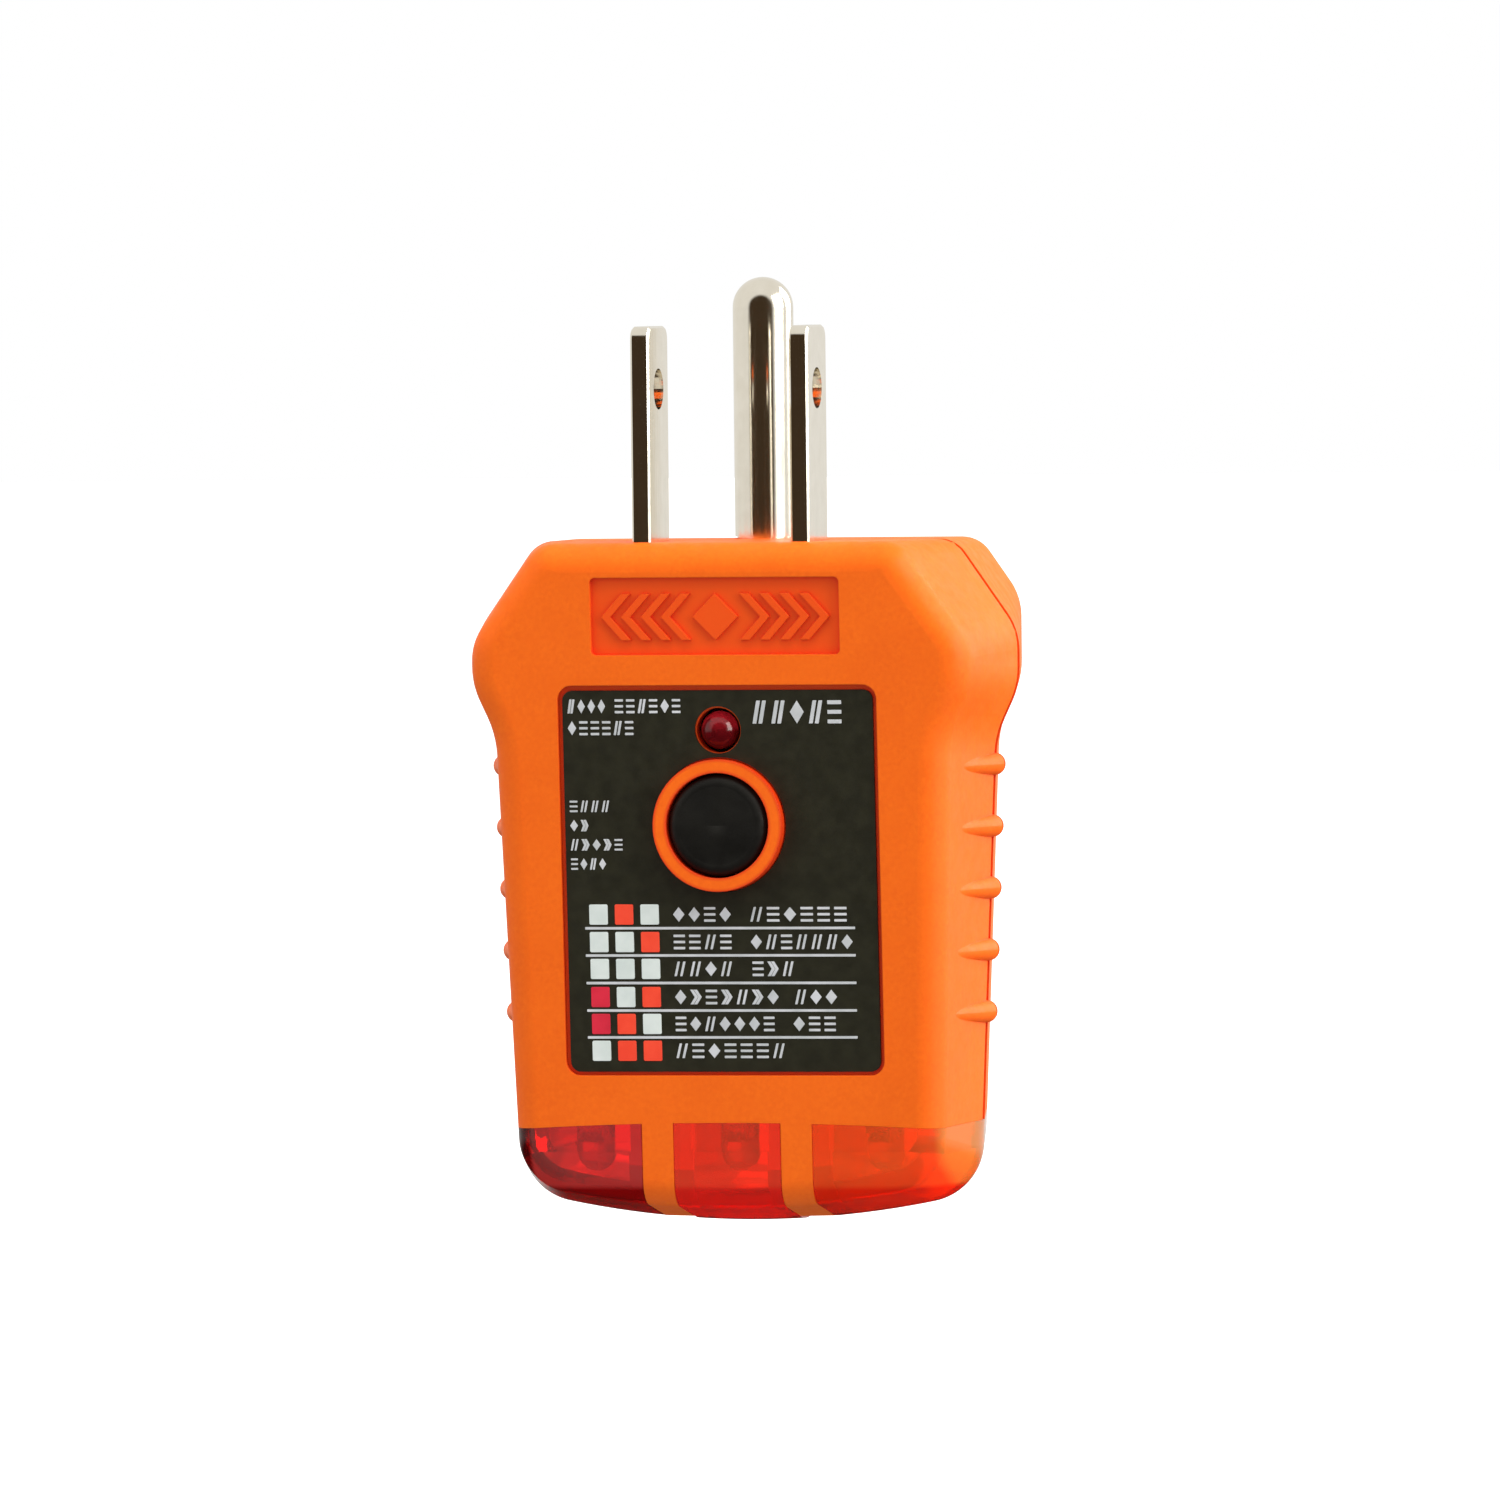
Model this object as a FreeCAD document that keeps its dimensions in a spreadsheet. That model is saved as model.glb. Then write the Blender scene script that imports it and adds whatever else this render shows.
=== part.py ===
import FreeCAD, Part
import math
import os
import Sketcher

# Outlet tester plug.  Millimetres.  +Z runs out of the plug face along the prongs, -Y is the labelled
# front and +X is the user's right.  The origin lies on the plug face, midway between the flat blades.

DIMS = {
    # outline of the case at the parting plane, as half widths and heights below the plug face
    "parting_y": 5.5, "face_half": 16.8, "chamfer_slope": 0.70, "shoulder_half": 21.8,
    "shoulder_low": 11.4, "waist_half": 19.93, "waist_low": 15.4, "foot_half": 18.36, "foot_low": 51.1,
    "case_height": 53.4, "face_depth": 5.8, "face_slope": 0.0556, "back_y": 16.0, "over_top": 6.0,
    "draft": 11.5, "shoulder_round": 4.6, "hip_round": 6.3, "waist_round": 8.0,
    "corner_round": 2.6, "foot_round": 4.6, "front_round": 2.2, "back_round": 2.4,
    "wall": 1.8, "groove_width": 0.4, "groove_depth": 0.3,
    # lamp end
    "seam_low": 45.3, "seam_sag": 1.9, "lens_wall": 1.7, "lens_side_wall": 1.3, "rib_near": 4.3,
    "rib_far": 6.8, "lens_over": 3.0, "band_under": 1.0,
    "rib_low": 52.85, "lens_gap": 0.05, "lip_gap": 0.06, "lip_thick": 0.75, "lip_rise": 1.5, "band": 1.2,
    "crease_round": 9.0,
    # label and badge recesses, measured down the sloping front
    "label_half": 12.4, "label_top": 11.5, "label_foot": 41.3, "label_thick": 0.3, "recess_depth": 0.5,
    "recess_margin": 0.35, "label_round": 0.8, "badge_half": 9.95, "badge_top": 2.75, "badge_foot": 8.8,
    "badge_depth": 0.45, "badge_relief": 0.28,
    # push button and switch
    "button_z": 22.0, "ring_outer": 5.15, "ring_inner": 4.1, "ring_front": 5.4, "ring_back": -0.9,
    "cap_radius": 3.95, "cap_front": 5.55, "cap_flange": 4.9, "cap_back": 0.2, "cap_wall": 1.0,
    "cap_boss": 1.6, "press": 1.2, "plunger_radius": 1.7, "plunger_front": 0.32, "plunger_back": 2.6,
    "switch_side": 6.0, "switch_front": 1.9, "cover_thick": 0.2, "spring_mean": 4.55, "spring_wire": 0.4,
    "spring_turns": 4.0, "spring_play": 0.02, "ring_soft": 0.45, "cap_land": 0.9, "cap_crown": 0.16,
    "cap_round": 0.95, "cap_roof": 1.6, "cap_play": 0.06, "boss_play": 0.02,
    # indicator lamp and the three lens lamps
    "led_z": 14.6, "led_radius": 1.5, "led_flange": 1.9, "led_flange_thick": 1.0, "led_length": 5.3,
    "led_front": 5.35, "led_hole": 1.75, "lead_side": 0.5, "lead_pitch": 2.54,
    "lamp_x": 11.6, "lamp_y": 2.2, "lamp_tip": 49.2, "lamp_bend": 41.4,
    # circuit board
    "board_front": 4.4, "board_thick": 1.6, "board_half": 15.3, "board_top": 9.0, "board_foot": 43.0,
    "post_notch": 3.95, "rest_below_led": 3.4, "rest_below_button": 7.0, "rest_inset": 1.3,
    "rest_radius": 1.2, "lead_proud": 0.9,
    # prongs
    "blade_x": 6.35, "blade_thick": 1.5, "blade_width": 6.35, "blade_out": 16.8, "blade_edge": 0.16,
    "blade_hole_z": 11.9, "blade_hole": 1.6, "blade_root": 8.4, "blade_foot": 13.0, "tab_top": 10.4,
    "tab_foot": 12.6, "tab_reach": 7.4, "pin_y": 11.9, "pin_radius": 2.38, "pin_out": 20.5,
    "pin_neck": 0.15, "neck_step": 0.18, "pin_collar": 0.35, "tip_round": 1.1, "tab_neck": 2.2,
    "pin_shank": 1.4, "fit": 0.05, "carrier_half": 8.9, "carrier_top": 2.0, "carrier_foot": 7.2,
    "carrier_front": 3.5, "carrier_back": 13.9, "strap_thick": 0.5, "strap_half": 2.2,
    # screws and posts
    "post_x_top": 13.0, "post_z_top": 11.0, "post_x_low": 10.4, "post_z_low": 35.5, "post_radius": 2.75,
    "back_post_radius": 3.45, "pilot": 1.3, "screw_radius": 1.27, "head_radius": 2.5, "head_thick": 1.7,
    "head_seat": 11.3, "counterbore": 2.75, "clear_hole": 1.5, "screw_tip": -1.4,
    # grips
    "grip_first": 17.6, "grip_pitch": 4.83, "grip_radius": 0.88, "grip_reach": 6.7, "grip_tail": 2.2,
    "grip_end": 0.58, "grip_sink": 0.12, "grip_bury": 0.08,
}

X_AXIS, Y_AXIS, Z_AXIS = FreeCAD.Vector(1, 0, 0), FreeCAD.Vector(0, 1, 0), FreeCAD.Vector(0, 0, 1)
SIDES = (-1, 1)

doc = FreeCAD.newDocument("outlet_tester_plug")


class Size:
    """A sheet value, or a sum built from sheet values: its number and its expression."""

    def __init__(self, number, text):
        self.number, self.text = number, text

    def join(self, other, sign, number):
        text = other.text if isinstance(other, Size) else repr(other)
        return Size(number, f"({self.text} {sign} {text})")

    def __add__(self, other):
        return self.join(other, "+", self.number + value(other))

    def __sub__(self, other):
        return self.join(other, "-", self.number - value(other))

    def __mul__(self, other):
        return self.join(other, "*", self.number * value(other))

    def __truediv__(self, other):
        return self.join(other, "/", self.number / value(other))

    def __neg__(self):
        return self * -1.0


def value(size):
    return size.number if isinstance(size, Size) else float(size)


def make_sheet():
    """Writes the driving dimensions and returns them as Sizes with the same names."""
    sheet = doc.addObject("Spreadsheet::Sheet", "dims")
    for row, (name, number) in enumerate(DIMS.items(), start=1):
        sheet.set(f"A{row}", name)
        sheet.set(f"B{row}", str(number))
        sheet.setAlias(f"B{row}", name)
    doc.recompute()
    return {name: Size(number, f"dims.{name}") for name, number in DIMS.items()}


class Named:
    """Lets a sheet value be written as d.wall."""

    def __init__(self, sizes):
        self.__dict__.update(sizes)


d = Named(make_sheet())


# ---------------------------------------------------------------- small helpers

def bind(thing, name, size):
    """Sets a property, or one part of a placement, and ties it to the sheet."""
    if isinstance(size, Size):
        thing.setExpression(name, size.text)
    elif "." not in name:
        setattr(thing, name, float(size))


def place(thing, x=0.0, y=0.0, z=0.0, turn=None):
    """Puts an object at x, y, z, with an optional (axis, degrees) turn."""
    rotation = FreeCAD.Rotation(*turn) if turn else FreeCAD.Rotation()
    thing.Placement = FreeCAD.Placement(FreeCAD.Vector(value(x), value(y), value(z)), rotation)
    for letter, size in (("x", x), ("y", y), ("z", z)):
        bind(thing, f".Placement.Base.{letter}", size)
    return thing


def new_body(name):
    return doc.addObject("PartDesign::Body", name)


def open_sketch(body, name, plane, lift=0.0, tilt=None):
    """An empty sketch on one of the body's origin planes, lifted along its normal and tilted about its X."""
    sketch = body.newObject("Sketcher::SketchObject", name)
    plane_feature = next(f for f in body.Origin.OriginFeatures if f.Role == plane)
    sketch.AttachmentSupport = [(plane_feature, "")]
    sketch.MapMode = "FlatFace"
    angle = math.degrees(math.atan(value(tilt))) if tilt else 0.0
    sketch.AttachmentOffset = FreeCAD.Placement(
        FreeCAD.Vector(0, 0, value(lift)), FreeCAD.Rotation(X_AXIS, angle)
    )
    bind(sketch, ".AttachmentOffset.Base.z", lift)
    if tilt:
        sketch.setExpression(".AttachmentOffset.Rotation.Angle", f"atan({tilt.text})")
    return sketch


def tie(sketch, kind, places, size):
    """One dimension of a sketch, tied to the sheet where it comes from there."""
    index = sketch.addConstraint(Sketcher.Constraint(kind, *places, value(size)))
    if isinstance(size, Size):
        sketch.setExpression(f"Constraints[{index}]", size.text)


def draw_loop(sketch, points, bulges=None):
    """A closed loop of lines through points; bulges gives the middle point of a side that is an arc."""
    bulges, ends = bulges or {}, []
    spots = [FreeCAD.Vector(value(x), value(y), 0) for x, y in points]
    for i, start in enumerate(spots):
        finish = spots[(i + 1) % len(spots)]
        if i in bulges:
            middle = FreeCAD.Vector(value(bulges[i][0]), value(bulges[i][1]), 0)
            forward = (middle - start).cross(finish - start).z > 0.0
            arc = Part.Arc(start, middle, finish) if forward else Part.Arc(finish, middle, start)
            geo = sketch.addGeometry(arc, False)
            ends.append((geo, 1, 2) if forward else (geo, 2, 1))
        else:
            ends.append((sketch.addGeometry(Part.LineSegment(start, finish), False), 1, 2))
    for (geo, _, last), (after, first, _) in zip(ends, ends[1:] + ends[:1]):
        sketch.addConstraint(Sketcher.Constraint("Coincident", geo, last, after, first))
    for (geo, first, _), (x, y) in zip(ends, points):
        tie(sketch, "DistanceX", (-1, 1, geo, first), x)
        tie(sketch, "DistanceY", (-1, 1, geo, first), y)
    for i, (x, y) in bulges.items():
        point = sketch.addGeometry(Part.Point(FreeCAD.Vector(value(x), value(y), 0)), True)
        sketch.addConstraint(Sketcher.Constraint("PointOnObject", point, 1, ends[i][0]))
        tie(sketch, "DistanceX", (-1, 1, point, 1), x)
        tie(sketch, "DistanceY", (-1, 1, point, 1), y)
    return sketch


def draw_circle(sketch, x, y, radius):
    centre = FreeCAD.Vector(value(x), value(y), 0)
    geo = sketch.addGeometry(Part.Circle(centre, FreeCAD.Vector(0, 0, 1), value(radius)), False)
    tie(sketch, "DistanceX", (-1, 1, geo, 3), x)
    tie(sketch, "DistanceY", (-1, 1, geo, 3), y)
    tie(sketch, "Radius", (geo,), radius)
    return sketch


def rectangle(left, low, right, high):
    return [(left, low), (right, low), (right, high), (left, high)]


def add_feature(body, kind, sketch, length, both=False, back=False, taper=None):
    """A pad or pocket of a sketch."""
    feature = body.newObject(f"PartDesign::{kind}", f"{sketch.Name}_{kind.lower()}")
    feature.Profile = sketch
    bind(feature, "Length", length)
    feature.SideType = "Symmetric" if both else "One side"
    feature.Reversed = back
    if taper:
        feature.setExpression("TaperAngle", f"-{taper.text}")
        feature.TaperAngle = -value(taper)
    doc.recompute()
    return feature


def revolve(body, sketch):
    """Turns a sketch on the XZ plane about the body's own Z axis."""
    feature = body.newObject("PartDesign::Revolution", f"{sketch.Name}_turn")
    feature.Profile = sketch
    feature.ReferenceAxis = (sketch, ["V_Axis"])
    feature.Angle = 360.0
    doc.recompute()
    return feature


def edges_where(feature, test):
    return [f"Edge{i}" for i, edge in enumerate(feature.Shape.Edges, start=1) if test(edge)]


def dress(body, kind, feature, test, size, name):
    """A fillet or chamfer on the edges of a feature that pass a test."""
    names = edges_where(feature, test)
    if not names:
        raise RuntimeError(f"{name}: no edges found")
    dressed = body.newObject(f"PartDesign::{kind}", name)
    dressed.Base = (feature, names)
    bind(dressed, "Radius" if kind == "Fillet" else "Size", size)
    doc.recompute()
    return dressed


def turned_body(name, profile, bulges=None):
    """A body turned about its own Z axis from a (radius, height) profile."""
    body = new_body(name)
    revolve(body, draw_loop(open_sketch(body, f"{name}_profile", "XZ_Plane"), profile, bulges))
    return body


def crown(radius, top, drop):
    """Middle of a domed profile from (0, top) to (radius, top - drop), with its centre on the axis."""
    reach, fall = value(radius), value(drop)
    bend = (reach ** 2 + fall ** 2) / (2.0 * fall)
    return reach * 0.5, value(top) - (bend - math.sqrt(bend ** 2 - reach ** 2 / 4.0))


def block(name, x, y, z):
    """A box from three (low, high) pairs."""
    box = doc.addObject("Part::Box", name)
    for side, (low, high) in zip(("Length", "Width", "Height"), (x, y, z)):
        bind(box, side, high - low)
    return place(box, x[0], y[0], z[0])


def rod(name, x, y, z, radius, length, along="Y"):
    """A cylinder from x, y, z along +Y or +Z."""
    cylinder = doc.addObject("Part::Cylinder", name)
    bind(cylinder, "Radius", radius)
    bind(cylinder, "Height", length)
    return place(cylinder, x, y, z, (X_AXIS, -90) if along == "Y" else None)


def boolean(kind, name, base, tool):
    result = doc.addObject(f"Part::{kind}", name)
    result.Base, result.Tool = base, tool
    return result


def cut(name, base, tool):
    return boolean("Cut", name, base, tool)


def common(name, base, tool):
    return boolean("Common", name, base, tool)


def fuse(name, things):
    result = doc.addObject("Part::MultiFuse", name)
    result.Shapes = things
    return result


def group(name, things):
    """Separate identical solids that share one node."""
    result = doc.addObject("Part::Compound", name)
    result.Links = things
    return result


# ---------------------------------------------------------------- outer form of the case

def front_at(z, inset=0.0):
    """Y of the sloping front at height z."""
    return -(d.face_depth + d.face_slope * z) + inset


def outline(inset, chamfered):
    """Right-hand corners of the case outline at the parting plane, moved in by inset, from the top down."""
    if chamfered:
        across = inset * math.hypot(1.0, value(d.chamfer_slope))
        shoulder_top = (d.face_half - d.shoulder_half) / d.chamfer_slope
        top = [
            (d.face_half - d.chamfer_slope * d.over_top - across, d.over_top),
            (d.shoulder_half - inset, shoulder_top - inset * 0.316),
        ]
    else:
        top = [(d.shoulder_half - inset, d.over_top)]
    return top + [
        (d.shoulder_half - inset, -d.shoulder_low + inset * 0.222),
        (d.waist_half - inset * 0.99, -d.waist_low + inset * 0.243),
        (d.foot_half - inset * 0.957, -d.foot_low + inset),
    ]


def mirrored(right):
    """The closed outline, clockwise from the top right, for corners given on the right-hand side."""
    return right + [(-x, z) for x, z in reversed(right)]


def starts_at(x, y, z):
    """Tests for an edge that leaves the point on either side, off the parting plane."""
    def test(edge):
        ends = [v.Point for v in edge.Vertexes]
        if len(ends) != 2 or abs(ends[0].y - ends[1].y) < 1e-3:
            return False
        return any(math.dist((abs(p.x), p.y, p.z), (x, y, z)) < 1e-3 for p in ends)
    return test


def lies_on(surface):
    """Tests for an edge whose ends and middle all satisfy surface(point) = 0."""
    def test(edge):
        span = edge.FirstParameter, edge.LastParameter
        points = [edge.valueAt(span[0] + (span[1] - span[0]) * k / 4) for k in range(5)]
        return all(abs(surface(p)) < 1e-3 for p in points)
    return test


def case_form(name, front, inset=0.0):
    """Solid outer form of the front or back half, moved in by inset all round except at the parting plane."""
    body = new_body(name)
    right = outline(inset, chamfered=front)
    lift = -d.parting_y
    low = -d.case_height + inset
    sketch = open_sketch(body, f"{name}_outline", "XZ_Plane", lift)
    draw_loop(sketch, mirrored(right), {len(right) - 1: (0.0, low)})
    depth = d.parting_y + d.face_depth + 2.0 if front else d.back_y - d.parting_y - inset
    feature = add_feature(body, "Pad", sketch, depth, back=not front,
                          taper=d.draft)
    sketch = open_sketch(body, f"{name}_top", "XZ_Plane")
    draw_loop(sketch, rectangle(-d.shoulder_half * 1.5, -inset, d.shoulder_half * 1.5, d.over_top * 2.0))
    feature = add_feature(body, "Pocket", sketch, d.back_y * 4.0, both=True)
    if front:
        sketch = open_sketch(body, f"{name}_slope", "YZ_Plane")
        ahead, top, foot = -d.face_depth * 3.0, d.over_top * 2.0, -d.case_height * 1.2
        draw_loop(sketch, [(front_at(top, inset), top), (front_at(foot, inset), foot), (ahead, foot),
                           (ahead, top)])
        feature = add_feature(body, "Pocket", sketch, d.shoulder_half * 4.0, both=True)
    else:
        feature = cut_chamfers(body, name, inset)
    rounds = [(right[-1], d.foot_round - inset)]
    if inset == 0.0:
        corner = (d.face_half, Size(0.0, "0"))
        shoulder_top = (d.shoulder_half, (d.face_half - d.shoulder_half) / d.chamfer_slope)
        rounds += [(corner, d.corner_round), (shoulder_top, d.shoulder_round),
                   (right[-3], d.hip_round), (right[-2], d.waist_round)]
    for step, ((x, z), radius) in enumerate(rounds):
        test = starts_at(value(x), value(d.parting_y), value(z))
        feature = dress(body, "Fillet", feature, test, radius, f"{name}_round_{step}")
    if inset == 0.0 and front:
        slope = lies_on(lambda p: p.y - value(front_at(p.z)))
        dress(body, "Fillet", feature, slope, d.front_round, f"{name}_front_round")
    elif inset == 0.0:
        back = lies_on(lambda p: p.y - value(d.back_y))
        dress(body, "Fillet", feature, back, d.back_round, f"{name}_back_round")
    return body


def cut_chamfers(body, name, inset):
    """Top corners of the back half, which run straight back."""
    sketch = open_sketch(body, f"{name}_corners", "XZ_Plane")
    across = inset * math.hypot(1.0, value(d.chamfer_slope))
    top, low, out = d.over_top * 2.0, -d.shoulder_low * 2.0, d.shoulder_half * 2.0
    for side in SIDES:
        points = [
            ((d.face_half - d.chamfer_slope * top - across) * side, top),
            (out * side, top),
            (out * side, low),
            ((d.face_half - d.chamfer_slope * low - across) * side, low),
        ]
        draw_loop(sketch, points)
    return add_feature(body, "Pocket", sketch, d.back_y * 4.0, both=True)


def face_body(name, depth, points_list, circles=(), lift=0.0, rounds=None):
    """A pad whose sketch lies on the sloping front, lifted along its normal; it grows inwards by depth."""
    body = new_body(name)
    sketch = open_sketch(body, f"{name}_shape", "XZ_Plane", d.face_depth + lift, d.face_slope)
    for points in points_list:
        draw_loop(sketch, points)
    for x, z, radius in circles:
        draw_circle(sketch, x, z, radius)
    feature = add_feature(body, "Pad", sketch, depth, back=True)
    if rounds:
        upright = lambda edge: abs(edge.Length - value(depth)) < 1e-3
        dress(body, "Fillet", feature, upright, rounds, f"{name}_rounds")
    return body


def lens_zone():
    """Everything below the lens seam, which is square to the sloping front and slightly arched."""
    body = new_body("lens_zone")
    sketch = open_sketch(body, "lens_zone_shape", "XZ_Plane", d.face_depth, d.face_slope)
    out, seam, deep = d.shoulder_half * 1.5, -d.seam_low, -d.case_height * 1.4
    points = [(out, deep), (out, seam - d.seam_sag), (-out, seam - d.seam_sag), (-out, deep)]
    draw_loop(sketch, points, {1: (0.0, seam)})
    add_feature(body, "Pad", sketch, d.back_y * 5.0, both=True)
    return body


# ---------------------------------------------------------------- case shells

def grip_bars(name, front):
    """Small tapered grips on both sides, half on each shell."""
    bars = []
    for side in SIDES:
        for number in range(5):
            z = -(d.grip_first + d.grip_pitch * float(number))
            drop = (z + d.waist_low) / (d.foot_low - d.waist_low)
            half = d.waist_half + (d.waist_half - d.foot_half) * drop
            cone = doc.addObject("Part::Cone", f"{name}_{number}_{'right' if side > 0 else 'left'}")
            length = d.grip_reach if front else d.grip_tail
            bind(cone, "Radius1", d.grip_radius)
            bind(cone, "Radius2", d.grip_end)
            bind(cone, "Height", length)
            dip = math.degrees(math.atan(value(d.grip_end - d.grip_sink + d.grip_bury) / value(length)))
            inward = side * (value(d.draft) + dip)
            lean = FreeCAD.Rotation(Z_AXIS, -inward if front else inward)
            along = FreeCAD.Rotation(X_AXIS, 90 if front else -90)
            cone.Placement = FreeCAD.Placement(FreeCAD.Vector(), lean.multiply(along))
            bind(cone, ".Placement.Base.x", (half - d.grip_sink) * side)
            bind(cone, ".Placement.Base.y", d.parting_y)
            bind(cone, ".Placement.Base.z", z)
            bars.append(cone)
    return bars


def post_places():
    return [(side * 1.0, x, z) for side in SIDES
            for x, z in ((d.post_x_top, d.post_z_top), (d.post_x_low, d.post_z_low))]


def web_plates(name, form, y):
    """The two orange ribs between the lenses, each with the web that divides the lamp chambers."""
    plates = []
    for side in SIDES:
        low, high = (d.rib_near, d.rib_far) if side > 0 else (-d.rib_far, -d.rib_near)
        plate = block(f"{name}_web_{'right' if side > 0 else 'left'}", (low, high), y,
                      (-d.rib_low, -d.seam_low + d.lip_rise))
        plates.append(plate)
    return common(f"{name}_webs", form, fuse(f"{name}_web_pair", plates))


def badge_relief():
    """A generic row of raised slanted bars round a small diamond, standing on the badge floor."""
    body = new_body("badge_relief")
    sketch = open_sketch(body, "badge_relief_shape", "XZ_Plane",
                         d.face_depth - d.badge_depth + d.badge_relief, d.face_slope)
    middle = -(d.badge_top + d.badge_foot) * 0.5
    reach = (d.badge_foot - d.badge_top) * 0.3
    draw_loop(sketch, [(0.0, middle + reach), (reach, middle), (0.0, middle - reach), (-reach, middle)])
    for side in SIDES:
        for number in range(4):
            x = d.badge_half * (0.28 + 0.16 * number)
            lean, width = reach * 0.45, d.badge_half * 0.075
            points = [(x - lean, middle + reach), (x - lean + width, middle + reach),
                      (x + lean + width, middle), (x - lean + width, middle - reach),
                      (x - lean, middle - reach), (x + lean, middle)]
            draw_loop(sketch, [(px * side, py) for px, py in points])
    add_feature(body, "Pad", sketch, d.badge_relief + 0.1, back=True)
    return body


def recess(name, half, top, foot, depth, rounds):
    """A shallow pocket tool in the sloping front."""
    return face_body(name, depth + 1.0, [rectangle(-half, -foot, half, -top)], lift=1.0, rounds=rounds)


def board_rest_places():
    return [(d.board_half * side - d.rest_inset * side, z) for side in SIDES
            for z in (d.led_z + d.rest_below_led, d.button_z + d.rest_below_button)]


def front_shell(form, core, zone, groove_core):
    margin = d.recess_margin
    walls = cut("front_walls", cut("front_hollow", form, core), zone)
    webs = web_plates("front", form, (-d.face_depth * 2.0, d.parting_y))
    posts = []
    for side, x, z in post_places():
        start = front_at(-z, d.wall * 0.4)
        posts.append(rod("front_post", x * side, start, -z, d.post_radius, d.parting_y - start))
    for x, z in board_rest_places():
        start = front_at(-z, d.wall * 0.4)
        posts.append(rod("board_rest", x, start, -z, d.rest_radius, d.board_front - start))
    shell = fuse("front_frame", [walls, webs] + posts)
    label_recess = recess("label_recess", d.label_half + margin, d.label_top - margin, d.label_foot + margin,
                          d.recess_depth, d.label_round + margin)
    badge = recess("badge_recess", d.badge_half, d.badge_top, d.badge_foot, d.badge_depth,
                   d.label_round * 0.5)
    shell = cut("front_recessed", shell, fuse("front_recesses", [label_recess, badge]))
    far = d.shoulder_half * 1.5
    slab = block("groove_slab", (-far, far), (d.parting_y - d.groove_width, d.parting_y),
                 (-d.case_height * 1.2, d.over_top))
    shell = cut("front_grooved", shell, cut("groove_ring", slab, groove_core))
    ring = rod("button_ring", 0.0, -d.ring_front, -d.button_z, d.ring_outer, d.ring_front + d.ring_back)
    edge = doc.addObject("Part::Fillet", "button_ring_soft")
    edge.Base = ring
    edge.Edges = [(3, value(d.ring_soft), value(d.ring_soft))]
    shell = fuse("front_with_ring", [shell, edge, badge_relief()] + grip_bars("front_grip", True))
    holes = [rod("button_bore", 0.0, -d.ring_front * 2.0, -d.button_z, d.ring_inner, d.ring_front * 3.0),
             rod("led_bore", 0.0, -d.ring_front * 2.0, -d.led_z, d.led_hole, d.ring_front * 2.5)]
    for side, x, z in post_places():
        holes.append(rod("pilot", x * side, d.screw_tip - 0.6, -z, d.pilot, d.parting_y * 2.0))
    for side in SIDES:
        x, half = d.blade_x * side, d.blade_thick * 0.5 + d.fit
        holes.append(block("blade_slot", (x - half, x + half),
                           (-d.blade_width * 0.5 - d.fit, d.blade_width * 0.5 + d.fit),
                           (-d.wall * 2.0, d.wall)))
    return cut("front_shell", shell, fuse("front_holes", holes))


def rear_shell(form, core, zone):
    walls = cut("rear_walls", cut("rear_hollow", form, core), zone)
    webs = web_plates("rear", form, (d.parting_y, d.back_y * 1.5))
    post_end, board_back = d.back_y - d.wall * 0.4, d.board_front + d.board_thick
    posts = [rod("rear_post", x * side, d.parting_y, -z, d.back_post_radius, post_end - d.parting_y)
             for side, x, z in post_places()]
    posts += [rod("board_stop", x, board_back, -z, d.rest_radius, post_end - board_back)
              for x, z in board_rest_places()]
    shell = fuse("rear_frame", [walls, webs] + posts + grip_bars("rear_grip", False))
    holes = [rod("pin_bore", 0.0, d.pin_y, -d.wall * 2.0, d.pin_radius + d.fit, d.wall * 4.0, along="Z")]
    for side, x, z in post_places():
        holes.append(rod("screw_clearance", x * side, d.parting_y - 1.0, -z, d.clear_hole, d.back_y))
        holes.append(rod("screw_counterbore", x * side, d.head_seat, -z, d.counterbore, d.back_y))
    return cut("rear_shell", shell, fuse("rear_holes", holes))


# ---------------------------------------------------------------- lenses

def lens_end(form, zone):
    """The lamp end of the whole form, with the crease between its two halves rounded off."""
    end = common("lens_end_blank", form, zone)
    doc.recompute()
    crease = lies_on(lambda p: p.y - value(d.parting_y))
    soft = doc.addObject("Part::Fillet", "lens_end")
    soft.Base = end
    radius = value(d.crease_round)
    soft.Edges = [(i, radius, radius) for i, edge in enumerate(end.Shape.Edges, start=1) if crease(edge)]
    return soft


def lens(name, forms, low, high, outer_low, outer_high):
    """One transparent lens cup between low and high, with lips that tuck inside the shells."""
    end, inner, lip_outer, lip_inner = forms
    far, deep = d.back_y * 2.0, d.case_height * 1.2
    everywhere = (-far, far)
    slab = block(f"{name}_slab", (low, high), everywhere, (-deep, -d.seam_low + d.lens_over))
    bowl = common(f"{name}_blank", end, slab)
    inside = block(f"{name}_inside", (low + outer_low, high - outer_high), everywhere, (-deep, -d.wall))
    bowl = cut(f"{name}_bowl", bowl, common(f"{name}_cavity", inner, inside))
    ring = cut(f"{name}_lip_ring", lip_outer, lip_inner)
    span = block(f"{name}_lip_span", (low + outer_low, high - outer_high), everywhere,
                 (-d.seam_low - d.band, -d.seam_low + d.lip_rise))
    lip = common(f"{name}_lip", ring, span)
    wide = cut(f"{name}_band_ring", end, lip_inner)
    band_span = block(f"{name}_band_span", (low + outer_low, high - outer_high), everywhere,
                      (-d.seam_low - d.band - d.band_under, -d.seam_low + d.band))
    band = common(f"{name}_band", wide, band_span)
    return fuse(name, [bowl, band, lip])


# ---------------------------------------------------------------- front face pieces

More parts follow.
